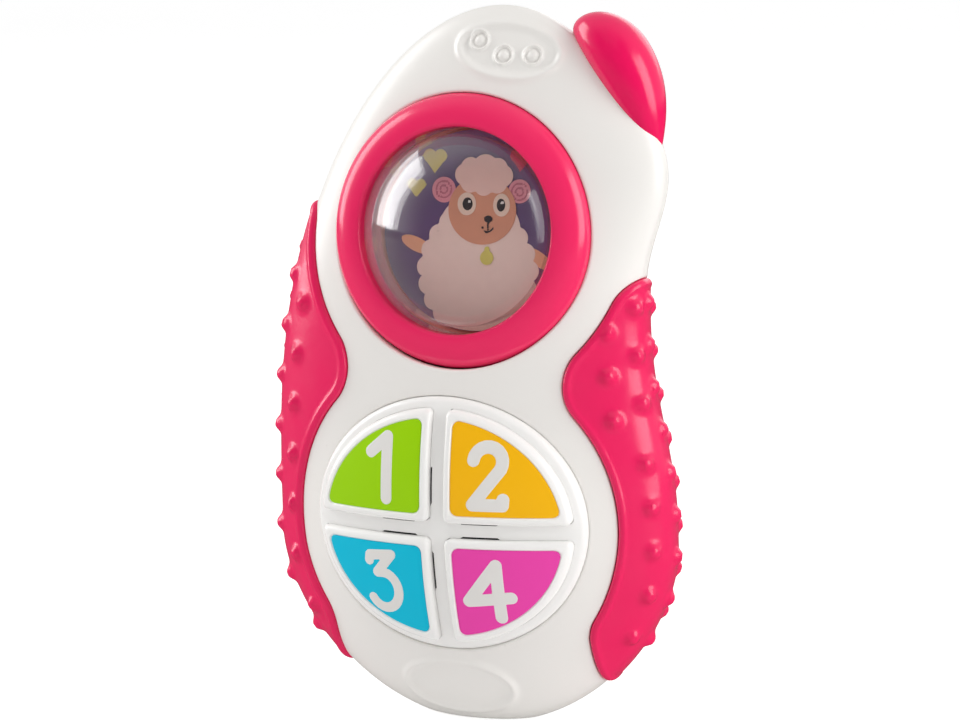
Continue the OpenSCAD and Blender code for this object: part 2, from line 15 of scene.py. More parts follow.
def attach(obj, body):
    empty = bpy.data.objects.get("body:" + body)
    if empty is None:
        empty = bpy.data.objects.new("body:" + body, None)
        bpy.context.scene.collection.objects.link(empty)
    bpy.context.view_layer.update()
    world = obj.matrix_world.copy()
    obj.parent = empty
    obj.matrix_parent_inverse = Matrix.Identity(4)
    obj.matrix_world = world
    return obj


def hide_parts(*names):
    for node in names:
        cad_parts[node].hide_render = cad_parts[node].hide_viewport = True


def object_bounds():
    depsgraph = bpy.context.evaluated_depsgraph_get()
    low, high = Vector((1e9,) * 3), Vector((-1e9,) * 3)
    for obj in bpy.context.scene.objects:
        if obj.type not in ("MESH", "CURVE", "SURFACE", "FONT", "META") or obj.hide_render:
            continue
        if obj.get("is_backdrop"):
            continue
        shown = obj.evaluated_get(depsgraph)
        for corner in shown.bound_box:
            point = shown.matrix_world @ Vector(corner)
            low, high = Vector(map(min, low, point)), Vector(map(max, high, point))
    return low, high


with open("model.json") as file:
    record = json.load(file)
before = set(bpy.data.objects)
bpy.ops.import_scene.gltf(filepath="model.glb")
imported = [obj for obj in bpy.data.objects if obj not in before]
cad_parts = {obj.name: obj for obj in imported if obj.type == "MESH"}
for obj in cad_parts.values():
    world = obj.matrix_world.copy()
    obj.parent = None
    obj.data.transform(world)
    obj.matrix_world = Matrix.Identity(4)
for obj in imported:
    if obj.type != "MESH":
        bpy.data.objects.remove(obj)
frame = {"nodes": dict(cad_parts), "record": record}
cad_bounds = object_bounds()
MM = 0.001


# ---- The body's form: the same formulas as the CAD source ----

BODY_H = 151.6
BODY_W = 88
FRONT_BULGE = 16.4
BACK_BULGE = 19
BACK_FLAT = 19.3
WIDE_Z = 38
PEAK_Z = 35
FOOT = -1.6
SIDE_POWERS = (1.66, 2.66)
FRONT_POWERS = (2.6, 1.25)
BACK_SQUARE = 2.35
SWEEP_Z, TOP_SWEEP = 64, 7
SHOULDER_Z, SHOULDER, SHOULDER_EASE = 94, 7, 0.5
WAIST_Z, WAIST = (44, 118), 3.8
LEAN_Z, LEAN_MID, LEAN_FOOT, LEAN_TOP = 85, 1, 4.6, 3
SPLIT_BEHIND = 1.5
FLAT_ROUNDING = 0.8
WALL = 2


def share(z, peak, powers):
    """How much of the full width or depth is left at a height."""
    above = np.clip((z - peak) / (BODY_H - peak), 0, None) ** powers[1]
    below = np.clip((peak - z) / (peak - FOOT), 0, None) ** powers[0]
    return np.sqrt(np.clip(1 - np.where(z > peak, above, below), 0, None))


def lean_y(z):
    """Where the body's middle plane lies at a height: the phone leans in an even curve."""
    above = LEAN_TOP * ((z - LEAN_Z) / (BODY_H - LEAN_Z)) ** 2
    below = LEAN_FOOT * ((LEAN_Z - z) / LEAN_Z) ** 2
    return LEAN_MID + np.where(z > LEAN_Z, above, below)


def sweep_x(z):
    return TOP_SWEEP * (np.clip(z - SWEEP_Z, 0, None) / (BODY_H - SWEEP_Z)) ** 2


def swell(z, low, high):
    return np.sin(np.pi * np.clip((z - low) / (high - low), 0, 1)) ** 2


def smooth_step(x, low, high):
    t = np.clip((x - low) / (high - low), 0, 1)
    return t * t * (3 - 2 * t)


def soft_min(a, b, k):
    """The smaller of two values, with the corner between them rounded over k."""
    h = np.clip(0.5 + 0.5 * (b - a) / k, 0, 1)
    return b + (a - b) * h - k * h * (1 - h)


def ball_height(z):
    """The height on the unit ball that stands for a height of the phone."""
    return 2 * (z - FOOT) / (BODY_H - FOOT) - 1


def skin_points(directions):
    """A point on the shell's outside for each direction of a unit ball, with flat back and foot."""
    dx, dy, dz = directions.T
    z = FOOT + (BODY_H - FOOT) * (1 + dz) / 2
    ring = np.hypot(dx, dy) + 1e-12
    across, deep = dx / ring, dy / ring
    bend = np.where(deep > 0, 2 / BACK_SQUARE, 1)
    extra = SHOULDER * swell(z, SHOULDER_Z, BODY_H) - WAIST * swell(z, *WAIST_Z)
    side_share, front_share = share(z, WIDE_Z, SIDE_POWERS), share(z, PEAK_Z, FRONT_POWERS)
    half_w = BODY_W / 2 * side_share + extra * smooth_step(across, 0, SHOULDER_EASE)
    depth = np.where(deep > 0, BACK_BULGE * side_share, FRONT_BULGE * front_share)
    x = sweep_x(z) + half_w * np.sign(across) * np.abs(across) ** bend
    y = lean_y(z) + depth * np.sign(deep) * np.abs(deep) ** bend
    return np.stack([x, soft_min(y, BACK_FLAT, FLAT_ROUNDING), -soft_min(-z, 0, FLAT_ROUNDING)], axis=1)


# ---- Forms, nets and solid pieces ----


class Form:
    """A surface in space. Its parameters are directions of a unit ball, or flat coordinates on a face."""

    def __init__(self, place, ball=False, up=None):
        self.place, self.ball, self.fixed_up = place, ball, up
        self.step = 1e-3 if ball else 1e-2

    def tidy(self, p):
        return p / np.linalg.norm(p, axis=1, keepdims=True) if self.ball else p

    def tangents(self, p):
        if not self.ball:
            return np.tile([1.0, 0.0], (len(p), 1)), np.tile([0.0, 1.0], (len(p), 1))
        aside = np.where(np.abs(p[:, 2:]) > 0.9, [[1.0, 0, 0]], [[0, 0, 1.0]])
        t1 = np.cross(aside, p)
        t1 /= np.linalg.norm(t1, axis=1, keepdims=True)
        return t1, np.cross(p, t1)

    def around(self, p):
        """The four neighbours of each parameter, a small step away."""
        return [self.tidy(p + sign * self.step * t) for t in self.tangents(p) for sign in (1, -1)]

    def normal(self, p):
        right, left, high, low = (self.place(q) for q in self.around(p))
        n = np.cross(right - left, high - low)
        return n / (np.linalg.norm(n, axis=1, keepdims=True) + 1e-12)

    def up(self, p):
        return np.tile(self.fixed_up, (len(p), 1)) if self.fixed_up is not None else self.normal(p)


class Net:
    """Triangles over a form. A cut along a field's level line gives the net corners on that line."""

    NEAR = 0.2  # a corner nearer to the line than this share of its side is moved onto it
    REACH = 0.3  # no corner moves further than this share of a usual side

    def __init__(self, form, params, tris):
        self.form, self.params, self.tris = form, params, tris
        self.held = np.zeros(len(params), bool)
        self.known = {}
        self.edges = []

    def value(self, field):
        if field not in self.known:
            self.known[field] = field(self.form, self.params)
        return self.known[field]

    def landed(self, field, level, params, reach):
        """The parameters moved onto the level line, but no further than reach."""
        right, left, high, low = (field(self.form, q) for q in self.form.around(params))
        slopes = np.stack([right - left, high - low], axis=1) / (2 * self.form.step)
        off = field(self.form, params) - level
        move = -slopes * (off / (np.sum(slopes**2, axis=1) + 1e-9))[:, None]
        far = np.linalg.norm(move, axis=1)
        move *= np.minimum(1, reach / (far + 1e-12))[:, None]
        t1, t2 = self.form.tangents(params)
        return self.form.tidy(params + move[:, :1] * t1 + move[:, 1:] * t2)

    def cut(self, field, *levels):
        for level in levels:
            self.cut_once(field, level)
        return self

    def crossings(self, sign):
        corner = sign[self.tris]
        crossed = (corner.min(axis=1) < 0) & (corner.max(axis=1) > 0)
        edges = self.tris[crossed][:, [[0, 1], [1, 2], [2, 0]]]
        return crossed, edges, sign[edges[:, :, 0]] * sign[edges[:, :, 1]] < 0

    def cut_once(self, field, level):
        value = self.value(field) - level
        sign = np.sign(value)
        crossed, edges, split = self.crossings(sign)
        if not crossed.any():
            return
        ends = edges[split]
        size = np.abs(value[ends])
        nearer = size / size.sum(axis=1, keepdims=True) < self.NEAR
        near = np.unique(ends[nearer])
        near = near[~self.held[near]]
        span = np.linalg.norm(self.params[ends[:, 0]] - self.params[ends[:, 1]], axis=1)
        reach = self.REACH * np.median(span)
        if len(near):
            self.params[near] = self.landed(field, level, self.params[near], reach)
            self.held[near] = True
            for known in self.known:
                self.known[known][near] = known(self.form, self.params[near])
            sign[near] = 0
            crossed, edges, split = self.crossings(sign)
        pairs = np.sort(edges, axis=2)
        keys = pairs[:, :, 0].astype(np.int64) * len(sign) + pairs[:, :, 1]
        unique, place = np.unique(keys[split], return_inverse=True)
        a, b = unique // len(sign), unique % len(sign)
        t = (np.abs(value[a]) / (np.abs(value[a]) + np.abs(value[b]) + 1e-12))[:, None]
        fresh = self.form.tidy(self.params[a] * (1 - t) + self.params[b] * t)
        fresh = self.landed(field, level, fresh, reach)
        middle = np.full(split.shape, -1)
        middle[split] = len(sign) + place
        for known in self.known:
            self.known[known] = np.concatenate([self.known[known], known(self.form, fresh)])
        self.params = np.concatenate([self.params, fresh])
        self.held = np.concatenate([self.held, np.ones(len(fresh), bool)])
        self.tris = np.concatenate([self.tris[~crossed], *self.divided(self.tris[crossed], middle)])

    @staticmethod
    def divided(tris, middle):
        """Splits crossed triangles. A row of middle has the new corner on sides 0-1, 1-2 and 2-0, or -1."""
        pieces = []
        count = (middle >= 0).sum(axis=1)
        for turn in range(3):
            v0, v1, v2 = np.roll(tris, -turn, axis=1).T
            m01, m12, m20 = np.roll(middle, -turn, axis=1).T
            one = (count == 1) & (m12 >= 0)
            two = (count == 2) & (m12 < 0)
            pieces += [np.stack(c, axis=1)[one] for c in ((v0, v1, m12), (v0, m12, v2))]
            pieces += [np.stack(c, axis=1)[two] for c in ((v0, m01, m20), (m01, v1, v2), (m01, v2, m20))]
        return pieces

    def trim(self, field, r=0, level=0, way=1, count=6, more=()):
        """Ends the solid at a level line, with its edge rounded to r. It lies on the side way points to."""
        self.edges.append((field, r, level, way))
        steps = edge_steps(r, count if r else 0)
        return self.cut(field, level, *(level + way * s for s in (*steps, *more)))

    def kept(self):
        """Which triangles have their middle on the solid's side of every edge."""
        middles = self.form.tidy(self.params[self.tris].mean(axis=1))
        sides = [way * (field(self.form, middles) - level) for field, _, level, way in self.edges]
        return np.min(sides, axis=0) > 0

    def drop(self):
        """How far the rounded edges lie under the face at each parameter."""
        return sum(rounding(way * (self.value(field) - level), r) for field, r, level, way in self.edges)


def ball_net(form, level):
    mesh = bmesh.new()
    bmesh.ops.create_icosphere(mesh, subdivisions=level, radius=1)
    points = np.array([v.co for v in mesh.verts], float)
    tris = np.array([[v.index for v in f.verts] for f in mesh.faces])
    mesh.free()
    return Net(form, form.tidy(points), tris)


def sheet_net(form, low, high, step):
    """A flat net of even triangles between two corners."""
    nx, ny = (max(2, math.ceil((h - l) / step)) for l, h in zip(low, high))
    x, y = np.meshgrid(np.linspace(low[0], high[0], nx + 1), np.linspace(low[1], high[1], ny + 1))
    a = (np.arange(nx)[None, :] + np.arange(ny)[:, None] * (nx + 1)).ravel()
    tris = np.concatenate([np.stack([a, a + 1, a + nx + 2], 1), np.stack([a, a + nx + 2, a + nx + 1], 1)])
    return Net(form, np.stack([x.ravel(), y.ravel()], axis=1), tris)


def slab(net, lift, depth):
    """A closed solid: the kept triangles lifted by lift, and the same triangles at depth under the form."""
    used, tris = np.unique(net.tris[net.kept()], return_inverse=True)
    tris = tris.reshape(-1, 3)
    params, count = net.params[used], len(used)
    base, up = net.form.place(params), net.form.up(params)
    height = (lift - net.drop())[used]
    points = np.concatenate([base + up * height[:, None], base - up * depth])
    a, b = tris[:, [0, 1, 2]].ravel(), tris[:, [1, 2, 0]].ravel()
    rim = ~np.isin(a.astype(np.int64) * count + b, b.astype(np.int64) * count + a)
    a, b = a[rim], b[rim]
    walls = [np.stack([b, a, a + count], 1), np.stack([b, a + count, b + count], 1)]
    return points, np.concatenate([tris, tris[:, ::-1] + count, *walls])


def joined(*solids):
    """Several solids as one list of points and one of faces."""
    points, faces, start = [], [], 0
    for p, f in solids:
        points.append(p)
        faces.append(f + start)
        start += len(p)
    return np.concatenate(points), np.concatenate(faces)


def add_piece(name, solid, material, body="phone", replaces=(), sharp=38):
    """Puts a solid in the scene on its body, with creases where faces meet at more than sharp degrees."""
    points, faces = solid
    mesh = bpy.data.meshes.new(name)
    mesh.from_pydata((points * MM).tolist(), [], faces.tolist())
    mesh.polygons.foreach_set("use_smooth", [True] * len(mesh.polygons))
    mesh.set_sharp_from_angle(angle=math.radians(sharp))
    mesh.materials.append(MATERIALS[material])
    piece = bpy.data.objects.new(name, mesh)
    bpy.context.scene.collection.objects.link(piece)
    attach(piece, body)
    if replaces:
        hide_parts(*replaces)


def rounding(s, r):
    """How far an edge rounded to radius r lies under the face, at distance s in from the edge."""
    s = np.clip(s, 0, r)
    return r - np.sqrt(np.clip(r * r - (r - s) ** 2, 0, None))


def edge_steps(r, count=6):
    """Distances in from an edge that follow its rounding evenly."""
    return [r * (1 - math.cos(math.pi / 2 * i / count)) for i in range(1, count + 1)]


class Place:
    """A flat face's own axes in space: x, y and z outwards."""

    def __init__(self, origin, turn):
        a = math.radians(turn)
        self.origin = np.array(origin, float)
        self.axes = np.array([[1, 0, 0], [0, math.cos(a), math.sin(a)], [0, -math.sin(a), math.cos(a)]])

    def out(self, points):
        return self.origin + points @ self.axes

    def local(self, points):
        return (points - self.origin) @ self.axes.T


# ---- Materials ----


class Tree:
    """A node tree, with short ways to add nodes to it."""

    NOISE_RANGE = (0.3, 0.7)
    GRAIN_DISTANCE = 0.0005

    def __init__(self, tree):
        self.nodes, self.links = tree.nodes, tree.links

    def feed(self, node, inputs):
        """Gives each input a plain value or another node's output."""
        for name, value in inputs.items():
            if isinstance(value, bpy.types.NodeSocket):
                self.links.new(value, node.inputs[name])
            else:
                node.inputs[name].default_value = value
        return node

    def add(self, kind, inputs=()):
        return self.feed(self.nodes.new("ShaderNode" + kind), dict(inputs))

    def noise(self, scale, detail, rough=0.5):
        """Noise that stays with the object when it moves."""
        where = self.add("TexCoord").outputs["Object"]
        noise = {"Vector": where, "Scale": scale, "Detail": detail, "Roughness": rough}
        return self.add("TexNoise", noise).outputs["Fac"]

    def ranged(self, value, target, source=NOISE_RANGE, easing="LINEAR"):
        """A value taken from one range to another."""
        limits = zip(("From Min", "From Max", "To Min", "To Max"), (*source, *target))
        node = self.add("MapRange", {"Value": value, **dict(limits)})
        node.interpolation_type = easing
        return node.outputs["Result"]

    def eased(self, value, target, source):
        return self.ranged(value, target, source, "SMOOTHSTEP")

    def tone(self, scale, detail, first, second):
        """A colour that wanders between two."""
        node = self.add("Mix")
        node.data_type = "RGBA"
        self.feed(node, {"Factor": self.noise(scale, detail), 6: (*first, 1), 7: (*second, 1)})
        return node.outputs[2]

    def bump(self, scale, detail, strength):
        height = self.noise(scale, detail)
        return self.add("Bump", {"Height": height, "Strength": strength, "Distance": self.GRAIN_DISTANCE})

    def blend(self, fac, first, second):
        """A shader between two shader nodes."""
        return self.add("MixShader", {"Fac": fac, 1: first.outputs[0], 2: second.outputs[0]})


def new_material(name, slot):
    """A node material that remembers its slot in the record."""
    material = bpy.data.materials.new(name)
    material.use_nodes = True
    material["slot"] = slot
    return material, Tree(material.node_tree)


GLOSS_TO_SWIRL = 3.1
COAT_ROUGHNESS = 0.08


def plastic(name, slot, colour, shade, rough, grain, depth, swirl, coat=0, metal=0, edge=0, specular=0.5):
    """Moulded material: flow-marked colour, uneven gloss and fine grain, with soft edges if asked."""
    material, tree = new_material(name, slot)
    bump = tree.bump(grain, 2, depth)
    if edge:
        tree.feed(bump, {"Normal": tree.add("Bevel", {"Radius": edge * MM}).outputs["Normal"]})
    tree.feed(tree.nodes["Principled BSDF"], {
        "Base Color": tree.tone(swirl, 4, [c * shade for c in colour], colour),
        "Roughness": tree.ranged(tree.noise(swirl * GLOSS_TO_SWIRL, 5, 0.6), rough),
        "Normal": bump.outputs["Normal"],
        "Metallic": metal,
        "Specular IOR Level": specular,
        "Coat Weight": coat,
        "Coat Roughness": COAT_ROUGHNESS,
    })
    return material


def clear_plastic(name, slot):
    """Thin clear plastic: see-through, with a haze and a mirror sheen that grow towards its edge."""
    material, tree = new_material(name, slot)
    tree.nodes.remove(tree.nodes["Principled BSDF"])
    through = tree.add("BsdfTransparent", {"Color": (0.99, 0.98, 0.98, 1)})
    haze = tree.add("BsdfDiffuse", {"Color": (0.9, 0.88, 0.92, 1)})
    smears = tree.ranged(tree.noise(120, 4), (0.05, 0.12))
    sheen = tree.add("BsdfGlossy", {"Roughness": smears, "Normal": tree.bump(60, 1, 0.02).outputs["Normal"]})
    facing = tree.add("LayerWeight", {"Blend": 0.22}).outputs["Facing"]
    milky = tree.blend(tree.eased(facing, (0.01, 0.2), (0, 0.7)), through, haze)
    clear = tree.blend(tree.eased(facing, (0.045, 0.7), (0, 1)), milky, sheen)
    tree.feed(tree.nodes["Material Output"], {"Surface": clear.outputs["Shader"]})
    return material


MATERIALS = {"clear_dome": clear_plastic("clear_dome", "clear_dome")}


def finish(name, colour, *surface, slot=None, **extras):
    """One of the phone's materials, kept under its name."""
    MATERIALS[name] = plastic(name, slot or name, colour, *surface, **extras)


# Colour, the darker swirls' share of it, roughness range, grain's fineness and depth, swirls' fineness
finish("white_shell", (0.87, 0.846, 0.812), 0.993, (0.27, 0.31), 1400, 0.012, 25)
finish("white_keys", (0.92, 0.91, 0.89), 0.993, (0.21, 0.25), 1400, 0.01, 40)
finish("pink_grip", (0.88, 0.014, 0.118), 0.93, (0.2, 0.27), 1600, 0.03, 45)
finish("pink_gloss", (0.86, 0.004, 0.105), 0.95, (0.16, 0.22), 1600, 0.01, 45)
finish("pink_ring", (0.90, 0.024, 0.128), 0.95, (0.16, 0.22), 1600, 0.01, 45, slot="pink_gloss")
finish("picture", (0.15, 0.08, 0.25), 0.75, (0.4, 0.55), 2200, 0.02, 160)
finish("cup_pink", (0.72, 0.22, 0.12), 0.85, (0.35, 0.5), 900, 0.03, 80)
finish("silicone", (0.62, 0.62, 0.58), 0.9, (0.5, 0.65), 700, 0.05, 90)
finish("carbon", (0.02, 0.02, 0.022), 0.6, (0.6, 0.8), 1500, 0.1, 200)
finish("board_green", (0.012, 0.14, 0.05), 0.75, (0.3, 0.45), 1800, 0.05, 260, edge=0.1)
finish("chip_black", (0.012, 0.012, 0.014), 0.7, (0.2, 0.35), 600, 0.06, 120)
finish("component_blue", (0.03, 0.06, 0.22), 0.8, (0.3, 0.4), 900, 0.03, 150, edge=0.2)
finish("inner_plastic", (0.62, 0.61, 0.58), 0.92, (0.35, 0.5), 900, 0.03, 70, edge=0.3)
finish("cell_wrap", (0.02, 0.11, 0.36), 0.8, (0.2, 0.3), 700, 0.02, 90, coat=0.4, edge=0.4)
finish("plated_steel", (0.62, 0.62, 0.60), 0.8, (0.2, 0.4), 1500, 0.06, 180, metal=1, edge=0.15)
finish("screw_steel", (0.50, 0.50, 0.52), 0.75, (0.25, 0.45), 1500, 0.08, 300, metal=1, edge=0.15)
finish("magnet_steel", (0.42, 0.42, 0.43), 0.8, (0.3, 0.5), 1200, 0.08, 200, metal=1, edge=0.3)
finish("dark_plastic", (0.03, 0.03, 0.035), 0.75, (0.4, 0.55), 1500, 0.08, 120, edge=0.3)
finish("paper_cone", (0.45, 0.36, 0.25), 0.8, (0.7, 0.9), 1300, 0.3, 400)
finish("wire_red", (0.45, 0.01, 0.01), 0.85, (0.3, 0.4), 900, 0.03, 150)
finish("wire_yellow", (0.7, 0.45, 0.02), 0.85, (0.3, 0.4), 900, 0.03, 150)
finish("digit_ink", (0.80, 0.78, 0.75), 0.97, (0.35, 0.45), 2500, 0.02, 150, slot="white_keys")
finish("ink_wool", (0.97, 0.76, 0.68), 0.9, (0.45, 0.6), 2200, 0.03, 500, slot="picture")
finish("ink_cap", (0.96, 0.66, 0.58), 0.88, (0.45, 0.6), 2200, 0.03, 500, slot="picture")

LABELS = {"green": (0.34, 0.68, 0.0), "orange": (0.97, 0.50, 0.003), "cyan": (0.0, 0.53, 0.74),
          "magenta": (0.88, 0.062, 0.42)}
for colour_name, colour in LABELS.items():
    finish("label_" + colour_name, colour, 0.96, (0.28, 0.36), 2500, 0.02, 120, specular=0.2)

INKS = {"tan": (0.80, 0.36, 0.22), "peach": (0.95, 0.48, 0.28), "pink": (0.88, 0.34, 0.42),
        "rose": (0.62, 0.18, 0.26), "pale": (0.95, 0.74, 0.60), "dark": (0.03, 0.02, 0.025),
        "light": (0.9, 0.88, 0.85), "yellow": (0.78, 0.70, 0.14), "red": (0.65, 0.05, 0.12)}
for colour_name, colour in INKS.items():
    finish("ink_" + colour_name, colour, 0.85, (0.45, 0.6), 2200, 0.03, 300, slot="picture")


# ---- Where things lie ----

RING_R, WINDOW_R = 28.6, 21.5
WINDOW_Z = 105.2
RING_RISE, DOME_H, DOME_SKIRT, DOME_SEAT, DOME_WALL = 6.3, 10.2, 4.7, -0.5, 1.4
WINDOW_Y, WINDOW_TILT = -4.9, -6.2
WINDOW = Place((float(sweep_x(np.array(WINDOW_Z))), WINDOW_Y, WINDOW_Z), 90 + WINDOW_TILT)
CARD_TOP = -5.7

PAD_HALF = (30.5, 27)
PAD_Y, PAD_Z, PAD_TILT = -17.3, 44.2, 3.3
KEYPAD = Place((0, PAD_Y, PAD_Z), 90 + PAD_TILT)
PAD_DOME_R = 80
GROOVE_W, RIM_W = 3.4, 2
KEY_RISE = 1.9
LABEL_MARGIN = 1.7

GRIP_TOP = {-1: 115, 1: 97}
GRIP_CORNER, GRIP_INNER = 10, 20
GRIP_LOW_X, GRIP_LOW_Z = 29.3, 26
KEYPAD_CLEAR, WINDOW_CLEAR = 36.2, 35.5
FAR = 50  # a field's value where its feature can't be


def front(points):
    """Which points lie on the face's side of the body."""
    return points[:, 1] < lean_y(points[:, 2])


def ellipse_distance(x, y, a, b):
    """Distance outside an ellipse, exact to first order at its edge."""
    k = np.sqrt((x / a) ** 2 + (y / b) ** 2) + 1e-9
    slope = np.sqrt((x / a**2) ** 2 + (y / b**2) ** 2) / k + 1e-9
    return (k - 1) / slope


def turned(x, y, centre, degrees):
    """Flat coordinates about a centre, on axes turned by some degrees."""
    c, s = math.cos(math.radians(degrees)), math.sin(math.radians(degrees))
    x, y = x - centre[0], y - centre[1]
    return x * c + y * s, y * c - x * s


def round_corner(a, b, r):
    """Where two distances meet, the outside of both with its corner rounded to r."""
    u, v = np.clip(a + r, 0, None), np.clip(b + r, 0, None)
    return np.minimum(-r, np.maximum(a, b)) + np.hypot(u, v)


def side_field(distance, ahead=True):
    """A field on the body's front or back, from a distance that takes points in space."""
    def field(form, params):
        points = form.place(params)
        return np.where(front(points) == ahead, distance(points), FAR)

    return field


WINDOW_FIELD = side_field(lambda p: np.hypot(*WINDOW.local(p).T[:2]) - RING_R - 0.15)
OPENING_HALF = [half + 0.12 for half in PAD_HALF]
KEYPAD_FIELD = side_field(lambda p: ellipse_distance(*KEYPAD.local(p).T[:2], *OPENING_HALF))


def split_field(form, params):
    """Distance behind the line where the two shells meet."""
    points = form.place(params)
    return points[:, 1] - lean_y(points[:, 2]) - SPLIT_BEHIND


class GripField:
    """Distance outside one grip's outline, measured on the skin. The outline is drawn in front view."""

    CELL, EDGE_STEP = 0.4, 0.25
    LOW, HIGH = (10, -12), (66, 160)

    def __init__(self, side):
        self.side = side
        top = GRIP_TOP[side] - GRIP_CORNER
        window_x = side * sweep_x(np.array(WINDOW_Z))

        def core_left(z):
            """Left edge of the outline after it has been shrunk by its corner radius."""
            plain = np.where(z > GRIP_LOW_Z + GRIP_CORNER, GRIP_INNER, GRIP_LOW_X) + GRIP_CORNER
            low = np.sqrt(np.clip((KEYPAD_CLEAR + GRIP_CORNER) ** 2 - (z - KEYPAD.origin[2]) ** 2, 0, None))
            high = np.sqrt(np.clip((WINDOW_CLEAR + GRIP_CORNER) ** 2 - (z - WINDOW_Z) ** 2, 0, None))
            return np.maximum(np.maximum(plain, low), np.where(high > 0, window_x + high, 0))

        z = np.arange(-20, top, self.EDGE_STEP)
        left = core_left(z)
        across = np.arange(core_left(np.array([top]))[0], 70, self.EDGE_STEP)
        edge = np.concatenate([np.stack([left, z], 1), np.stack([across, np.full(len(across), top)], 1)])
        self.x, self.z = (np.arange(low, high, self.CELL) for low, high in zip(self.LOW, self.HIGH))
        gx, gz = np.meshgrid(self.x, self.z, indexing="ij")
        gap = np.full(gx.shape, 1e9)
        for ex, ez in edge:
            np.minimum(gap, (gx - ex) ** 2 + (gz - ez) ** 2, out=gap)
        core = (gx > core_left(gz)) & (gz < top)
        self.table = np.where(core, -1, 1) * np.sqrt(gap) - GRIP_CORNER

    def flat(self, x, z):
        """Distance in the front view, read from the table between its cells."""
        i = np.clip((self.side * x - self.x[0]) / self.CELL, 0, len(self.x) - 1.001)
        j = np.clip((z - self.z[0]) / self.CELL, 0, len(self.z) - 1.001)
        i0, j0 = i.astype(int), j.astype(int)
        u, v = i - i0, j - j0
        t = self.table
        return ((t[i0, j0] * (1 - u) + t[i0 + 1, j0] * u) * (1 - v)
                + (t[i0, j0 + 1] * (1 - u) + t[i0 + 1, j0 + 1] * u) * v)

    def __call__(self, form, params):
        points, normal = form.place(params), form.normal(params)
        x, z = points[:, 0], points[:, 2]
        value = self.flat(x, z)
        slope_x = self.flat(x + self.CELL, z) - self.flat(x - self.CELL, z)
        slope_z = self.flat(x, z + self.CELL) - self.flat(x, z - self.CELL)
        size = np.hypot(slope_x, slope_z) + 1e-9
        along = (slope_x * normal[:, 0] + slope_z * normal[:, 2]) / size
        return value / np.sqrt(np.clip(1 - along**2, 0.06, 1))


GRIP_FIELDS = {side: GripField(side) for side in (-1, 1)}


# ---- Relief on the shell ----

MARKS = [(3.6, 144.6), (9.3, 141.7), (15.6, 141.7)]
MARK_R, MARK_DIP_R, MARK_BUTTON_R = 2.05, 1.5, 1.45
OVAL_LINE, MARK_LINE = 0.8, 0.3


def oval_field(centre, half, turn):
    return side_field(lambda p: ellipse_distance(*turned(p[:, 0], p[:, 2], centre, turn), *half))


def mark_distance(points):
    return np.min([np.hypot(points[:, 0] - x, (points[:, 2] - z) * 1.06) for x, z in MARKS], axis=0)


TOP_FIELD = oval_field((10.3, 142.5), (11.3, 5.4), -6)
FOOT_FIELD = oval_field((-0.2, 8.9), (12.4, 6.0), 0)
MARK_FIELD = side_field(mark_distance)


def ridge(s, width):
    """A soft ridge of unit height along the line where s is zero."""
    return np.exp(-((s / width) ** 2))


def relief_lift(net):
    """Soft raised oval lines, the sunk ground in the top one, and its three ringed buttons."""
    top, foot, mark = (net.value(f) for f in (TOP_FIELD, FOOT_FIELD, MARK_FIELD))
    lift = 0.5 * ridge(top, OVAL_LINE) - 0.25 * smooth_step(-top, 0, 1.6)
    lift += 0.55 * ridge(foot, OVAL_LINE) - 0.05 * smooth_step(-foot, 0, 1.8)
    lift += 0.4 * ridge(mark - MARK_R, MARK_LINE) - 0.15 * ridge(mark - MARK_DIP_R, MARK_LINE)
    return lift + 0.5 * smooth_step(MARK_BUTTON_R - mark, 0, 1.0)


def cut_relief(net):
    wide = (-1.8, -1.2, -0.8, -0.5, -0.25, 0, 0.25, 0.5, 0.8, 1.2, 1.8)
    net.cut(TOP_FIELD, *wide).cut(FOOT_FIELD, *wide)
    return net.cut(MARK_FIELD, 0.4, 0.7, 1.0, 1.25, 1.45, 1.65, 1.85, 2.05, 2.25, 2.45, 2.65)


# ---- Shells ----

SKIN = Form(skin_points, ball=True)
SKIN_LEVEL = 7
SEAM = 0.06
SHELL_EDGE, HOLE_EDGE, SPLIT_EDGE, DOOR_EDGE = 0.45, 0.6, 0.3, 0.4
SPEAKER_HOLE_R, SPEAKER_PITCH = 1.2, 5
WELL_R, WELL_EDGE = 2.6, 0.3

DOOR_HALF_W, DOOR_LOW, DOOR_HIGH, DOOR_T, DOOR_CORNER = 16, 12, 76, 1.6, 4
BOX_HALF_W, BOX_LOW, BOX_HIGH = 11.2, 23, 74
DOOR_SCREW = (0, 16)
DOOR_SCREW_AXIS = Place((DOOR_SCREW[0], 0, DOOR_SCREW[1]), -90)
SPEAKER_Z = 108
SWITCH_Z, SWITCH_PAD_DEPTH = 83.5, 1.3
CASE_SCREWS = [(-21.5, 77), (21.5, 77), (-21, 15), (21, 15), (6, 141.5)]
HOLE_STEPS = [(SPEAKER_PITCH * (i + j / 2), 4.33 * j) for i in range(-2, 3) for j in range(-2, 3)]
SPEAKER_HOLES = [(x, SPEAKER_Z + z) for x, z in HOLE_STEPS if math.hypot(x, z) < 11]


def box_distance(x, z, centre, half, corner):
    dx = np.abs(x - centre[0]) - half[0] + corner
    dz = np.abs(z - centre[1]) - half[1] + corner
    return np.hypot(np.clip(dx, 0, None), np.clip(dz, 0, None)) + np.minimum(np.maximum(dx, dz), 0) - corner


def door_distance(x, z):
    middle, half = (DOOR_LOW + DOOR_HIGH) / 2, (DOOR_HIGH - DOOR_LOW) / 2
    return box_distance(x, z, (0, middle), (DOOR_HALF_W, half), DOOR_CORNER)


def back_field(distance):
    """A field on the back from a distance drawn in front view."""
    return side_field(lambda p: distance(p[:, 0], p[:, 2]), ahead=False)


def nearest_of(spots, r):
    return lambda x, z: np.min([np.hypot(x - sx, z - sz) for sx, sz in spots], axis=0) - r


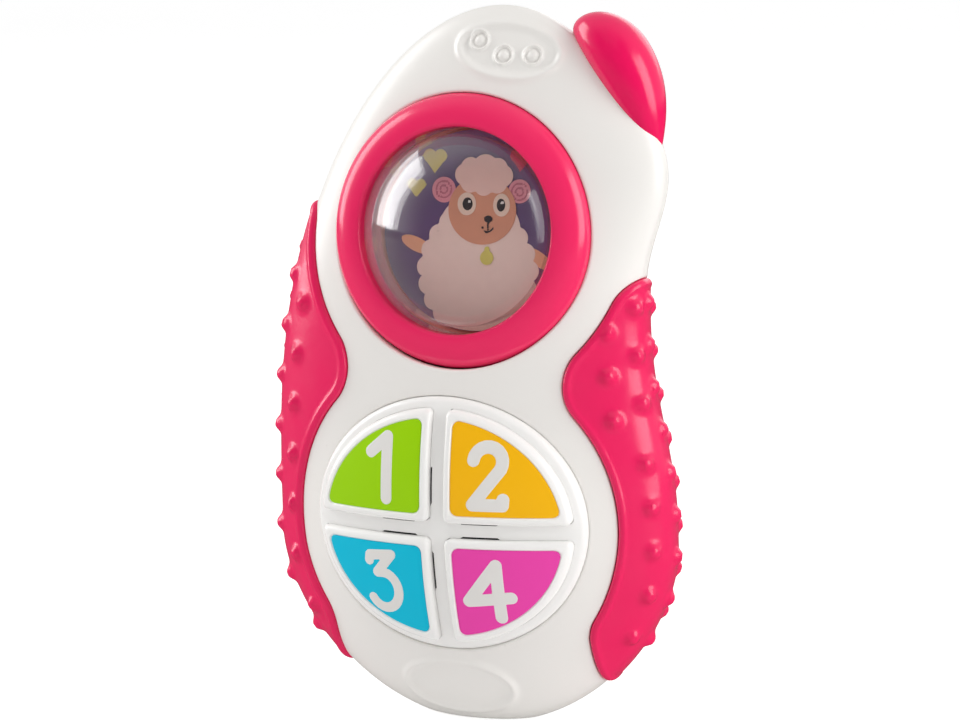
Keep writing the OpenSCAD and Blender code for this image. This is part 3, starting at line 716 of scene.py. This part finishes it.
DOOR_FIELD = back_field(lambda x, z: door_distance(x, z) - 0.25)
HOLES_FIELD = back_field(nearest_of(SPEAKER_HOLES, SPEAKER_HOLE_R))
WELLS_FIELD = back_field(nearest_of(CASE_SCREWS, WELL_R))
SLOT_FIELD = back_field(lambda x, z: box_distance(x, z, (0, SWITCH_Z), (5.6, 2.3), 0.6))
PAD_FIELD = back_field(lambda x, z: box_distance(x, z, (0, SWITCH_Z), (9, 4), 1.5))


def trim_grips(net):
    for field in GRIP_FIELDS.values():
        net.trim(field, SHELL_EDGE, SEAM)
    return net


def front_shell():
    """The white face, open for ring, keypad and grips, with its relief and rounded edges."""
    net = cut_relief(ball_net(SKIN, SKIN_LEVEL))
    net.trim(WINDOW_FIELD, HOLE_EDGE).trim(KEYPAD_FIELD, SHELL_EDGE)
    trim_grips(net).trim(split_field, SPLIT_EDGE, -SEAM, -1, 3)
    add_piece("front_shell_skin", slab(net, relief_lift(net), WALL), "white_shell", replaces=["front_shell"])


def well_tube(spot):
    """The round post around one case screw, open to the back."""
    hole, post = 1.4, 3.6
    seat = float(lean_y(np.array(spot[1]))) + SPLIT_BEHIND + 2.4
    low, top = seat - 2, float(skin_points(SKIN.tidy(back_direction(spot)))[0, 1]) - 0.5
    profile = [(hole, low), (post, low), (post, top), (WELL_R, top), (WELL_R, seat), (hole, seat)]
    return lathe(profile, Place((spot[0], 0, spot[1]), -90), 32)


def back_direction(spot):
    """The skin's direction that lands on a spot of the back, found by a few corrections."""
    x, z = spot
    dz = ball_height(z)
    ring = math.sqrt(1 - dz * dz)
    across, corrections, caution = 0.0, 20, 60
    for _ in range(corrections):
        d = np.array([[ring * across, ring * math.sqrt(1 - across**2), dz]])
        across += (x - skin_points(d)[0, 0]) / caution
    return d


def lathe(profile, place, count=64):
    """A closed solid of revolution about place's z, from a closed profile of (radius, height)."""
    profile = np.array(profile, float)
    turn = 2 * np.pi * np.arange(count) / count
    r, h = profile.T
    points = np.stack([np.outer(np.cos(turn), r), np.outer(np.sin(turn), r), np.tile(h, (count, 1))], axis=2)
    n = len(profile)
    i, j = np.meshgrid(np.arange(count), np.arange(n), indexing="ij")
    a, b = i * n + j, (i + 1) % count * n + j
    c, d = (i + 1) % count * n + (j + 1) % n, i * n + (j + 1) % n
    faces = np.concatenate([np.stack(t, axis=-1).reshape(-1, 3) for t in ((a, b, c), (a, c, d))])
    return place.out(points.reshape(-1, 3)), faces


def back_form(y):
    """A flat face towards +Y at depth y; its first coordinate runs to -X."""
    def place(p):
        return np.stack([-p[:, 0], np.full(len(p), y), p[:, 1]], axis=1)

    return Form(place, up=np.array([0.0, 1.0, 0.0]))


def sheet_field(distance):
    """A field on a back form from a distance drawn in front view."""
    return lambda form, params: distance(-params[:, 0], params[:, 1])


def door_ledge():
    """The floor of the door's recess, open over the battery box and the door screw."""
    inner = sheet_field(lambda x, z: box_distance(x, z, (0, (BOX_LOW + BOX_HIGH) / 2),
                                                  (BOX_HALF_W + 1.2, (BOX_HIGH - BOX_LOW) / 2), 0.6))
    outer = sheet_field(lambda x, z: door_distance(x, z) - 1)
    hole = sheet_field(nearest_of([DOOR_SCREW], 3.6))
    net = sheet_net(back_form(BACK_FLAT - DOOR_T - 0.12), (-18, 10), (18, 78), 1.2)
    net.trim(outer, way=-1).trim(inner).trim(hole)
    bore, bush, post, low, step, top = 1.2, 3.6, 4.8, 8.5, 17, BACK_FLAT - 2.95
    profile = [(bore, low), (post, low), (post, step), (bush, step), (bush, top), (bore, top)]
    boss = lathe(profile, DOOR_SCREW_AXIS, 40)
    return joined(slab(net, 0, 1), boss)


def back_shell():
    """The white back, open for door, switch, speaker and screws, with their rounded edges."""
    net = ball_net(SKIN, SKIN_LEVEL)
    trim_grips(net.trim(split_field, SPLIT_EDGE, SEAM, count=3))
    net.trim(DOOR_FIELD, DOOR_EDGE, count=4).trim(WELLS_FIELD, WELL_EDGE, count=3)
    net.trim(HOLES_FIELD, WELL_EDGE, count=3, more=[0.8])
    net.cut(PAD_FIELD, -0.7, -0.5, -0.3, -0.1, 0.1, 0.3).trim(SLOT_FIELD, more=edge_steps(0.2, 2))
    shell = slab(net, -SWITCH_PAD_DEPTH * smooth_step(-net.value(PAD_FIELD), -0.3, 0.7), WALL)
    solid = joined(shell, door_ledge(), *(well_tube(spot) for spot in CASE_SCREWS))
    add_piece("back_shell_skin", solid, "white_shell", replaces=["back_shell"])


# ---- Grips ----

GRIP_PROUD, GRIP_EDGE, GRIP_T = 0.8, 0.7, 1.0
LIP, LIP_IN, LIP_WIDTH = 0.25, 1.1, 0.5
BUMP_H, BUMP_R, BUMP_POWER = 1.35, 1.6, 2.6
# Angle from the widest line (forwards is negative), lowest height, pitch and number of each column
BUMP_COLUMNS = {
    1: [(-31, 67.3, 9.1, 3), (-18, 21.3, 9.2, 5), (-12, 70.4, 9.9, 3), (3, 19.8, 8.9, 9), (19, 24.8, 9.2, 8),
        (36, 29.2, 9.2, 7)],
    -1: [(-30, 23.7, 10.8, 7), (-13, 18.5, 10.8, 8), (3, 23.9, 10.8, 8), (19, 29.3, 10.8, 7),
         (36, 34.6, 10.8, 6)],
}


def bump_centres(side):
    spots = []
    for angle, low, pitch, count in BUMP_COLUMNS[side]:
        for i in range(count):
            dz = ball_height(low + pitch * i)
            a = math.radians(angle)
            ring = math.sqrt(1 - dz * dz)
            spots.append((side * ring * math.cos(a), ring * math.sin(a), dz))
    return skin_points(np.array(spots))


class BumpField:
    def __init__(self, side):
        self.centres = bump_centres(side)

    def __call__(self, form, params):
        points = form.place(params)
        return np.min([np.linalg.norm(points - c, axis=1) for c in self.centres], axis=0)


def grip(side, name):
    """A pink grip: a raised skin with a soft lip along its edge and rows of bumps."""
    field, bumps = GRIP_FIELDS[side], BumpField(side)
    net = ball_net(SKIN, SKIN_LEVEL)
    net.tris = net.tris[(np.sign(net.params[net.tris][:, :, 0]) == side).any(axis=1)]
    net.trim(field, GRIP_EDGE, -SEAM, -1, more=(0.9, 1.15, 1.4, 1.8, 2.4))
    net.cut(bumps, 0.5, 0.85, 1.15, 1.4, 1.65, 1.9, 2.2, 2.6, 3.1)
    inward = -SEAM - net.value(field)
    bump = BUMP_H * np.exp(-((net.value(bumps) / BUMP_R) ** BUMP_POWER))
    lift = GRIP_PROUD + LIP * ridge(inward - LIP_IN, LIP_WIDTH) + bump * smooth_step(inward, 0.6, 2.2)
    add_piece(name + "_skin", slab(net, lift, GRIP_T), "pink_grip", replaces=[name])


# ---- Antenna ----

ANTENNA_LOW = np.array([41.4, 119.2])
ANTENNA_TOP = np.array([23.7, 144.2])
ANTENNA_OUT = np.array([0.815, 0.58])
ANTENNA_BULGE, ANTENNA_FAT, ANTENNA_FALL = 11.4, 0.74, 0.335
ANTENNA_DEEP, ANTENNA_BACK = 1.15, 1.5
ANTENNA_BALLS, ANTENNA_VIEW_BALL = 220, 130


def antenna_width(t):
    """The horn's width along its path: it swells, then closes in a round end."""
    rise = np.sin(np.pi / 2 * np.clip(t / ANTENNA_FAT, 0, 1))
    fall = np.sqrt(np.clip(1 - ((t - ANTENNA_FAT) / ANTENNA_FALL) ** 2, 0, None))
    return ANTENNA_BULGE * np.where(t < ANTENNA_FAT, rise, fall)


def antenna():
    """The horn as the hull of many balls along its path, seen from a point in its middle."""
    t = np.linspace(0.04, 1.04, ANTENNA_BALLS)[:, None]
    width = antenna_width(t)
    flat = ANTENNA_LOW + t * (ANTENNA_TOP - ANTENNA_LOW) + 0.5 * width * ANTENNA_OUT
    centres = np.stack([flat[:, 0], (lean_y(flat[:, 1]) + ANTENNA_BACK) / ANTENNA_DEEP, flat[:, 1]], axis=1)
    radii = 0.55 * width[:, 0]
    middle = centres[ANTENNA_VIEW_BALL]

    def place(directions):
        to = centres - middle
        along = directions @ to.T
        reach = along**2 - np.sum(to**2, axis=1) + radii**2
        far = np.where(reach > 0, along + np.sqrt(np.clip(reach, 0, None)), 0).max(axis=1)
        return (middle + directions * far[:, None]) * [1, ANTENNA_DEEP, 1]

    form = Form(place, ball=True)
    net = ball_net(form, 6)
    solid = form.place(net.params), net.tris
    add_piece("antenna_skin", solid, "pink_gloss", replaces=["antenna"])


# ---- Window ----

RING_STEP, RING_CLAMP_Z, RING_CREST_R = 1.6, -4.6, 0.9
DOME_LIP, DOME_FLANGE_R, DOME_FLANGE_T = 1.5, 26.3, 1.1


def arc(centre, r, start, end, count):
    return [(centre[0] + r * math.cos(math.radians(a)), centre[1] + r * math.sin(math.radians(a)))
            for a in np.linspace(start, end, count)]


def window_ring():
    """The pink ring, with a rounded crest and a step that clamps the dome."""
    crest, shoulder = WINDOW_R + RING_CREST_R, 1.6
    outer = [(crest + (RING_R - crest) * math.cos(a), shoulder + (RING_RISE - shoulder) * math.sin(a))
             for a in np.linspace(0, math.pi / 2, 28)]
    inner = arc((crest, RING_RISE - RING_CREST_R), RING_CREST_R, 100, 180, 9)
    step_r, step_z = RING_R - RING_STEP, DOME_SEAT + 0.1
    profile = [(WINDOW_R, step_z), (step_r, step_z), (step_r, RING_CLAMP_Z), (RING_R, RING_CLAMP_Z)]
    solid = lathe(profile + outer + inner, WINDOW, 160)
    add_piece("window_bezel", solid, "pink_ring", replaces=["window_ring"], sharp=50)


def dome():
    """The clear dome: part of a ball on a flange held under the ring."""
    base = WINDOW_R - 0.2
    r = (base**2 + DOME_H**2) / (2 * DOME_H)
    middle = DOME_SEAT + DOME_SKIRT + DOME_H - r
    edge = math.degrees(math.acos(base / r))
    inner_r = WINDOW_R - DOME_LIP
    inner_edge = math.degrees(math.acos(inner_r / (r - DOME_WALL)))
    outer = arc((0, middle), r, edge, 89.9, 40)
    inner = arc((0, middle), r - DOME_WALL, 89.9, inner_edge, 40)
    low = DOME_SEAT - DOME_FLANGE_T
    flange = [(inner_r, low), (DOME_FLANGE_R, low), (DOME_FLANGE_R, DOME_SEAT), (base, DOME_SEAT)]
    solid = lathe([*flange, *outer, *inner], WINDOW, 128)
    add_piece("dome_shell", solid, "clear_dome", replaces=["dome_lens"])


# ---- The printed picture: flat shapes on the card ----


INK_T, CARD_MARGIN = 0.05, 0.5


def card_form(height):
    def place(p):
        return WINDOW.out(np.column_stack([p, np.full(len(p), height)]))

    return Form(place, up=WINDOW.axes[2])


def ink_shape(name, distance, layer, ink):
    """A printed shape where distance(x, y) is below zero, as a thin layer on the card."""
    def field(form, params):
        return distance(params[:, 0], params[:, 1])

    def on_card(form, params):
        return np.hypot(*params.T) - WINDOW_R + CARD_MARGIN

    net = sheet_net(card_form(CARD_TOP + INK_T * layer), (-21, -21), (21, 21), 0.45)
    net.trim(field, way=-1).trim(on_card, way=-1)
    add_piece("picture_" + name, slab(net, INK_T, 0.02), "ink_" + ink)


def disc(x, y, r):
    return lambda px, py: np.hypot(px - x, py - y) - r


def oval(x, y, a, b, turn=0):
    return lambda px, py: ellipse_distance(*turned(px, py, (x, y), turn), a, b)


def any_of(*shapes):
    return lambda px, py: np.min([shape(px, py) for shape in shapes], axis=0)


def outside(shape, hole):
    return lambda px, py: np.maximum(shape(px, py), -hole(px, py))


def heart(x, y, size):
    def distance(px, py):
        u, v = np.abs(px - x) / size, (py - y) / size
        lobe = np.hypot(u - 0.42, v - 0.25) - 0.5
        point = np.maximum((u * 0.78 - v * 0.62) - 0.62, v - 0.3)
        return np.minimum(lobe, point) * size

    return distance


def fleece_shape():
    """A pear of wool with a scalloped edge."""
    curls, count = [oval(0.5, -9.5, 11.6, 11.5), oval(0.8, 0, 9.3, 8)], 22
    for i in range(count):
        a = 2 * math.pi * i / count
        x, y = 0.6 + 11.6 * math.cos(a), -8 + 12.5 * math.sin(a)
        x *= 1 - 0.012 * max(0, y + 8)
        curls.append(disc(x, y, 2.3))
    return any_of(*curls)


def picture():
    """A plain woolly sheep with three hearts, in layers of ink from the back to the front."""
    ink_shape("hearts_yellow", any_of(heart(-9.9, 14.6, 2.9), heart(-14.0, 8.7, 2.3)), 1, "yellow")
    ink_shape("heart_red", heart(9.6, 15.2, 2.6), 1, "red")
    arms = any_of(oval(-13.5, -3.4, 3.8, 1.5, -22), oval(14.3, -5.4, 3.6, 1.5, -32))
    ink_shape("arms", arms, 1, "peach")
    ink_shape("fleece", fleece_shape(), 2, "wool")
    ink_shape("ears", any_of(disc(-7.6, 8.3, 2.7), disc(9.6, 8.5, 2.5)), 3, "pink")
    rings = [(x, 8.4, r) for x in (-7.6, 9.6) for r in (1.9, 1.0)]
    curls = any_of(*(outside(disc(x, y, r), disc(x, y, r - 0.32)) for x, y, r in rings))
    ink_shape("ear_curls", curls, 4, "rose")
    ink_shape("face", oval(1.3, 4.3, 7.7, 7.2), 5, "tan")
    turns = np.linspace(0, 2 * math.pi, 9)
    cap_curls = [disc(1.5 + 4.3 * math.cos(a), 11.6 + 2.0 * math.sin(a), 2.3) for a in turns]
    ink_shape("cap", any_of(disc(1.8, 13.0, 3.0), oval(1.5, 11.4, 4.8, 2.8), *cap_curls), 6, "cap")
    ink_shape("eye_patches", any_of(oval(-2.2, 5.5, 2.1, 2.4), oval(5.7, 5.5, 1.9, 2.4)), 7, "pale")
    ink_shape("eyes", any_of(oval(-2.0, 5.5, 1.15, 1.35), oval(5.6, 5.5, 0.95, 1.35)), 8, "dark")
    ink_shape("eye_lights", any_of(disc(-1.6, 6.0, 0.36), disc(5.9, 6.0, 0.33)), 9, "light")
    smile = outside(disc(2.7, 1.0, 1.35), any_of(disc(2.7, 1.12, 1.12), lambda x, y: 0.75 - y))
    stem = oval(2.75, 1.2, 0.16, 1.1)
    ink_shape("nose", any_of(oval(2.8, 2.5, 0.95, 0.72), stem, smile), 8, "dark")
    ink_shape("pendant", any_of(disc(2.7, -5.6, 1.5), disc(2.7, -3.8, 0.6)), 7, "yellow")


# ---- Keypad ----


def pad_place(p):
    """The keypad's gently domed face."""
    r2 = np.sum(p**2, axis=1)
    return KEYPAD.out(np.column_stack([p, np.sqrt(PAD_DOME_R**2 - r2) - PAD_DOME_R]))


PAD = Form(pad_place, up=KEYPAD.axes[2])
PAD_SHEET = (31, 28)
PAD_EDGE, PAD_T, KEY_EDGE, KEY_CORNER, KEY_T = 1.0, 3, 1.1, 1.3, 3.2
POCKET_CORNER, POCKET_DEPTH = 1.6, 0.35


def quarter(n):
    """The signs of x and y on a key."""
    return (-1 if n % 2 else 1), (1 if n < 3 else -1)


def key_distance(x, y, margin, corner):
    """Distance outside one quarter of the keypad, in the first quadrant."""
    inner = GROOVE_W / 2 + margin
    rim = ellipse_distance(x, y, PAD_HALF[0] - RIM_W - margin, PAD_HALF[1] - RIM_W - margin)
    square = round_corner(inner - x, inner - y, corner)
    return round_corner(square, rim, corner)


class KeyField:
    """Distance outside one key's outline, drawn in by a margin."""

    def __init__(self, n, margin, corner):
        self.signs, self.margin, self.corner = quarter(n), margin, corner

    def __call__(self, form, params):
        x, y = params[:, 0] * self.signs[0], params[:, 1] * self.signs[1]
        return key_distance(x, y, self.margin, self.corner)


def slit_distance(x, y, margin):
    """Distance outside the slits beside the keys' inner edges, in the first quadrant."""
    middle, half = GROOVE_W / 2 - 0.1, (0.28 + margin, 4.1 + margin)
    upright = box_distance(x, y, (middle, 9), half, 0.2)
    return np.minimum(upright, box_distance(x, y, (9, middle), half[::-1], 0.2))


def slit_field(form, params):
    return slit_distance(*np.abs(params).T, 0)


def keypad_slits():
    net = sheet_net(PAD, (-14, -14), (14, 14), 0.4)
    # Dark strips in the slits beside the keys' inner edges are painted shade: they stand for the shadow down
    # in the gaps and are no real part.
    add_piece("keypad_slit_painted_shade", slab(net.trim(slit_field, way=-1), -0.2, 1.5), "carbon")


def opening_field(form, params):
    """Distance outside the plate's four key openings, with a wider slit beside each key's inner edges."""
    x, y = np.abs(params[:, 0]), np.abs(params[:, 1])
    return np.minimum(key_distance(x, y, -0.05, 1.2), slit_distance(x, y, 0.05))


def pad_edge_field(form, params):
    return ellipse_distance(params[:, 0], params[:, 1], *PAD_HALF)


def keypad_plate():
    """The white plate around the keys, with the cross between them."""
    net = sheet_net(PAD, (-PAD_SHEET[0], -PAD_SHEET[1]), PAD_SHEET, 0.8)
    net.trim(pad_edge_field, PAD_EDGE, way=-1).trim(opening_field)
    add_piece("keypad_face", slab(net, 0, PAD_T), "white_keys", replaces=["keypad_plate"])


def key_sheet(n, step):
    far = [size * sign for size, sign in zip(PAD_SHEET, quarter(n))]
    return sheet_net(PAD, [min(0, f) for f in far], [max(0, f) for f in far], step)


def key(n):
    """A key's white cap, with a sunk pocket for its label."""
    edge, pocket = KeyField(n, 0, KEY_CORNER), KeyField(n, LABEL_MARGIN, POCKET_CORNER)
    net = key_sheet(n, 0.7).trim(edge, KEY_EDGE, way=-1).cut(pocket, 0.25, 0.12, 0, -0.1)
    lift = KEY_RISE - POCKET_DEPTH * smooth_step(0.25 - net.value(pocket), 0, 0.35)
    add_piece(f"key_cap_{n}", slab(net, lift, KEY_T), "white_keys", f"key_{n}", [f"key_{n}"])


def label(n):
    edge = KeyField(n, LABEL_MARGIN + 0.08, POCKET_CORNER)
    net = key_sheet(n, 0.7).trim(edge, 0.12, way=-1, count=0, more=(0.04, 0.12))
    solid = slab(net, KEY_RISE - 0.15, 0.4 - KEY_RISE)
    add_piece(f"key_label_{n}", solid, "label_" + list(LABELS)[n - 1], f"key_{n}", [f"label_{n}"])


def bow(centre, r, start, end, count=12, stretch=1.0):
    """An arc stretched upwards and downwards."""
    return [(x, centre[1] + (y - centre[1]) * stretch) for x, y in arc(centre, r, start, end, count)]


# Half the stroke's width and the strokes' corners, on the keypad's own axes
PEN = {1: 1.33, 2: 1.36, 3: 1.12, 4: 1.33}
DIGITS = {
    1: [[(-15.2, 15.5), (-11.3, 18.8), (-11.3, 6.1)]],
    2: [bow((11.6, 14.9), 3.1, 175, -28) + [(8.4, 6.0), (14.8, 6.0), (14.9, 7.2)]],
    3: [[(-16.2, -7.7), (-16.0, -6.5), (-10.7, -6.0), (-14.4, -10.2)]
        + bow((-13.1, -14.1), 3.5, 98, -150, 18, 1.14)],
    4: [[(13.1, -18.4), (12.9, -6.8), (6.5, -14.9), (15.6, -13.9)]],
}


class DigitField:
    """Distance outside a digit drawn with a round pen."""

    def __init__(self, n):
        self.lines, self.pen = DIGITS[n], PEN[n]

    def __call__(self, form, params):
        best = np.full(len(params), 1e9)
        for line in self.lines:
            for a, b in zip(np.array(line[:-1]), np.array(line[1:])):
                t = np.clip((params - a) @ (b - a) / np.sum((b - a) ** 2), 0, 1)
                best = np.minimum(best, np.linalg.norm(params - a - t[:, None] * (b - a), axis=1))
        return best - self.pen


def digit(n):
    net = key_sheet(n, 0.5).trim(DigitField(n), 0.05, way=-1, count=0, more=[0.1])
    add_piece(f"key_digit_{n}", slab(net, KEY_RISE - 0.11, 0.16 - KEY_RISE), "digit_ink", f"key_{n}")


def keypad():
    keypad_plate()
    keypad_slits()
    for n in range(1, 5):
        key(n)
        label(n)
        digit(n)


# ---- Door and switch ----


def door():
    """The battery door: a rounded plate with grip ribs near its top and a well for its screw."""
    edge = sheet_field(door_distance)
    hole = sheet_field(nearest_of([DOOR_SCREW], 2.5))
    ribs = [(0, DOOR_HIGH - 7 - 2.4 * i) for i in range(5)]
    rib = sheet_field(any_of(*(lambda x, z, at=at: box_distance(x, z, at, (7, 0.55), 0.5) for at in ribs)))
    net = sheet_net(back_form(BACK_FLAT), (-17, 11), (17, 77), 1.0)
    net.trim(edge, 0.45, way=-1, count=4).trim(hole, 0.25, count=3).cut(rib, 0.3, 0.15, 0, -0.15, -0.3)
    lift = -0.35 * smooth_step(0.3 - net.value(rib), 0, 0.6)
    bore, well, bush = 1.3, 2.5, 3.4
    low, seat, top = BACK_FLAT - 2.8, BACK_FLAT - 1.5, BACK_FLAT - 1.2
    profile = [(bore, low), (bush, low), (bush, top), (well, top), (well, seat), (bore, seat)]
    solid = joined(slab(net, lift, DOOR_T), lathe(profile, DOOR_SCREW_AXIS, 48))
    add_piece("battery_door_plate", solid, "white_shell", "door", ["battery_door"])


# ---- CAD parts that stay as they are ----


def dress_cad_parts():
    """Gives every CAD node the material of its slot in the record."""
    slots = {part["node"]: part["material_slot"] for part in frame["record"]["subparts"]}
    for name, node in frame["nodes"].items():
        node.data.materials.clear()
        node.data.materials.append(MATERIALS[slots[name]])


# ---- Stage, light and camera ----

FLOOR_HALF = 12
FLOOR_GLOW = (0.36, 0.70)


def stage():
    """A pale floor that looks white to the camera and dark in the phone's gloss."""
    material, tree = new_material("floor_paper", "none")
    seen = tree.add("LightPath").outputs
    paper = tree.feed(tree.nodes["Principled BSDF"], {
        "Base Color": tree.tone(3, 2, (0.56, 0.56, 0.56), (0.60, 0.60, 0.60)),
        "Roughness": 0.8,
        "Emission Color": (1, 1, 1, 1),
        "Emission Strength": tree.ranged(seen["Is Camera Ray"], FLOOR_GLOW, (0, 1)),
    })
    dark = tree.add("BsdfDiffuse", {"Color": (0.14, 0.13, 0.12, 1)})
    look = tree.blend(seen["Is Glossy Ray"], paper, dark)
    tree.feed(tree.nodes["Material Output"], {"Surface": look.outputs["Shader"]})
    mesh = bpy.data.meshes.new("floor")
    corners = [(FLOOR_HALF * x, FLOOR_HALF * y, 0) for x, y in ((-1, -1), (1, -1), (1, 1), (-1, 1))]
    mesh.from_pydata(corners, [], [(0, 1, 2, 3)])
    mesh.materials.append(material)
    floor = bpy.data.objects.new("floor", mesh)
    bpy.context.scene.collection.objects.link(floor)
    floor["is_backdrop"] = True


def soft_box(name, at, target, size, power):
    """A white rectangle of light, in metres and watts, turned towards a target."""
    lamp = bpy.data.lights.new(name, "AREA")
    lamp.shape = "RECTANGLE"
    lamp.size, lamp.size_y = size
    lamp.energy = power
    light = bpy.data.objects.new(name, lamp)
    light.location = at
    light.rotation_euler = (Vector(target) - Vector(at)).to_track_quat("-Z", "Y").to_euler()
    bpy.context.scene.collection.objects.link(light)
    return light


def lights():
    """Soft boxes around the phone, in a white room that is dark ahead of its face when mirrored."""
    world = bpy.data.worlds.new("studio")
    bpy.context.scene.world = world
    world.use_nodes = True
    tree = Tree(world.node_tree)
    seen = tree.add("LightPath").outputs
    ahead = tree.add("VectorMath")
    ahead.operation = "DOT_PRODUCT"
    tree.feed(ahead, {0: tree.add("TexCoord").outputs["Generated"], 1: (0.2, -0.97, 0.1)})
    mirrored = tree.eased(ahead.outputs["Value"], (0.7, 0.03), (0.1, 0.7))
    plain = tree.eased(seen["Is Camera Ray"], (0.45, 1.0), (0, 1))
    strength = tree.add("Mix", {"Factor": seen["Is Glossy Ray"], 2: plain, 3: mirrored}).outputs[0]
    tree.feed(tree.nodes["Background"], {"Color": (1, 1, 1, 1), "Strength": strength})
    middle = (0, 0, 0.09)
    soft_box("key_left", (-1.0, -0.1, 0.50), middle, (0.5, 0.85), 6.5)
    soft_box("fill_right", (1.0, -0.12, 0.36), middle, (0.6, 0.9), 7.0)
    soft_box("top", (0.0, -0.5, 0.85), middle, (0.6, 0.5), 1.4).visible_glossy = False
    soft_box("behind", (0.1, 0.9, 0.5), middle, (0.8, 0.5), 1.5)


YAW, ELEVATION, ROLL = 23.7, 8.69, 0.68
DISTANCE, LENS = 838.5, 149.2
AIM = (0.95, 3.27, 1.03)  # from the middle of the CAD box


def camera():
    aim = Vector(np.mean(cad_bounds, axis=0) + np.array(AIM) * MM)
    yaw, rise, roll = (math.radians(a) for a in (YAW, ELEVATION, ROLL))
    back = Vector((math.sin(yaw) * math.cos(rise), -math.cos(yaw) * math.cos(rise), math.sin(rise)))
    right = Vector((math.cos(yaw), math.sin(yaw), 0))
    up = back.cross(right)
    across = right * math.cos(roll) - up * math.sin(roll)
    upward = up * math.cos(roll) + right * math.sin(roll)
    turn = Matrix((across, upward, back)).transposed()
    lens = bpy.data.cameras.new("camera")
    lens.lens, lens.sensor_width = LENS, 36
    lens.clip_start, lens.clip_end = 0.05, 60
    eye = bpy.data.objects.new("camera", lens)
    eye.matrix_world = Matrix.Translation(aim + back * DISTANCE * MM) @ turn.to_4x4()
    bpy.context.scene.collection.objects.link(eye)
    bpy.context.scene.camera = eye


dress_cad_parts()
front_shell()
back_shell()
grip(-1, "left_grip")
grip(1, "right_grip")
antenna()
window_ring()
dome()
picture()
keypad()
door()
stage()
lights()
camera()
bpy.context.scene.view_settings.view_transform = "Standard"

boxes = {"cad": cad_bounds, "visual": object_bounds()}
{name: [list(corner) for corner in box] for name, box in boxes.items()}
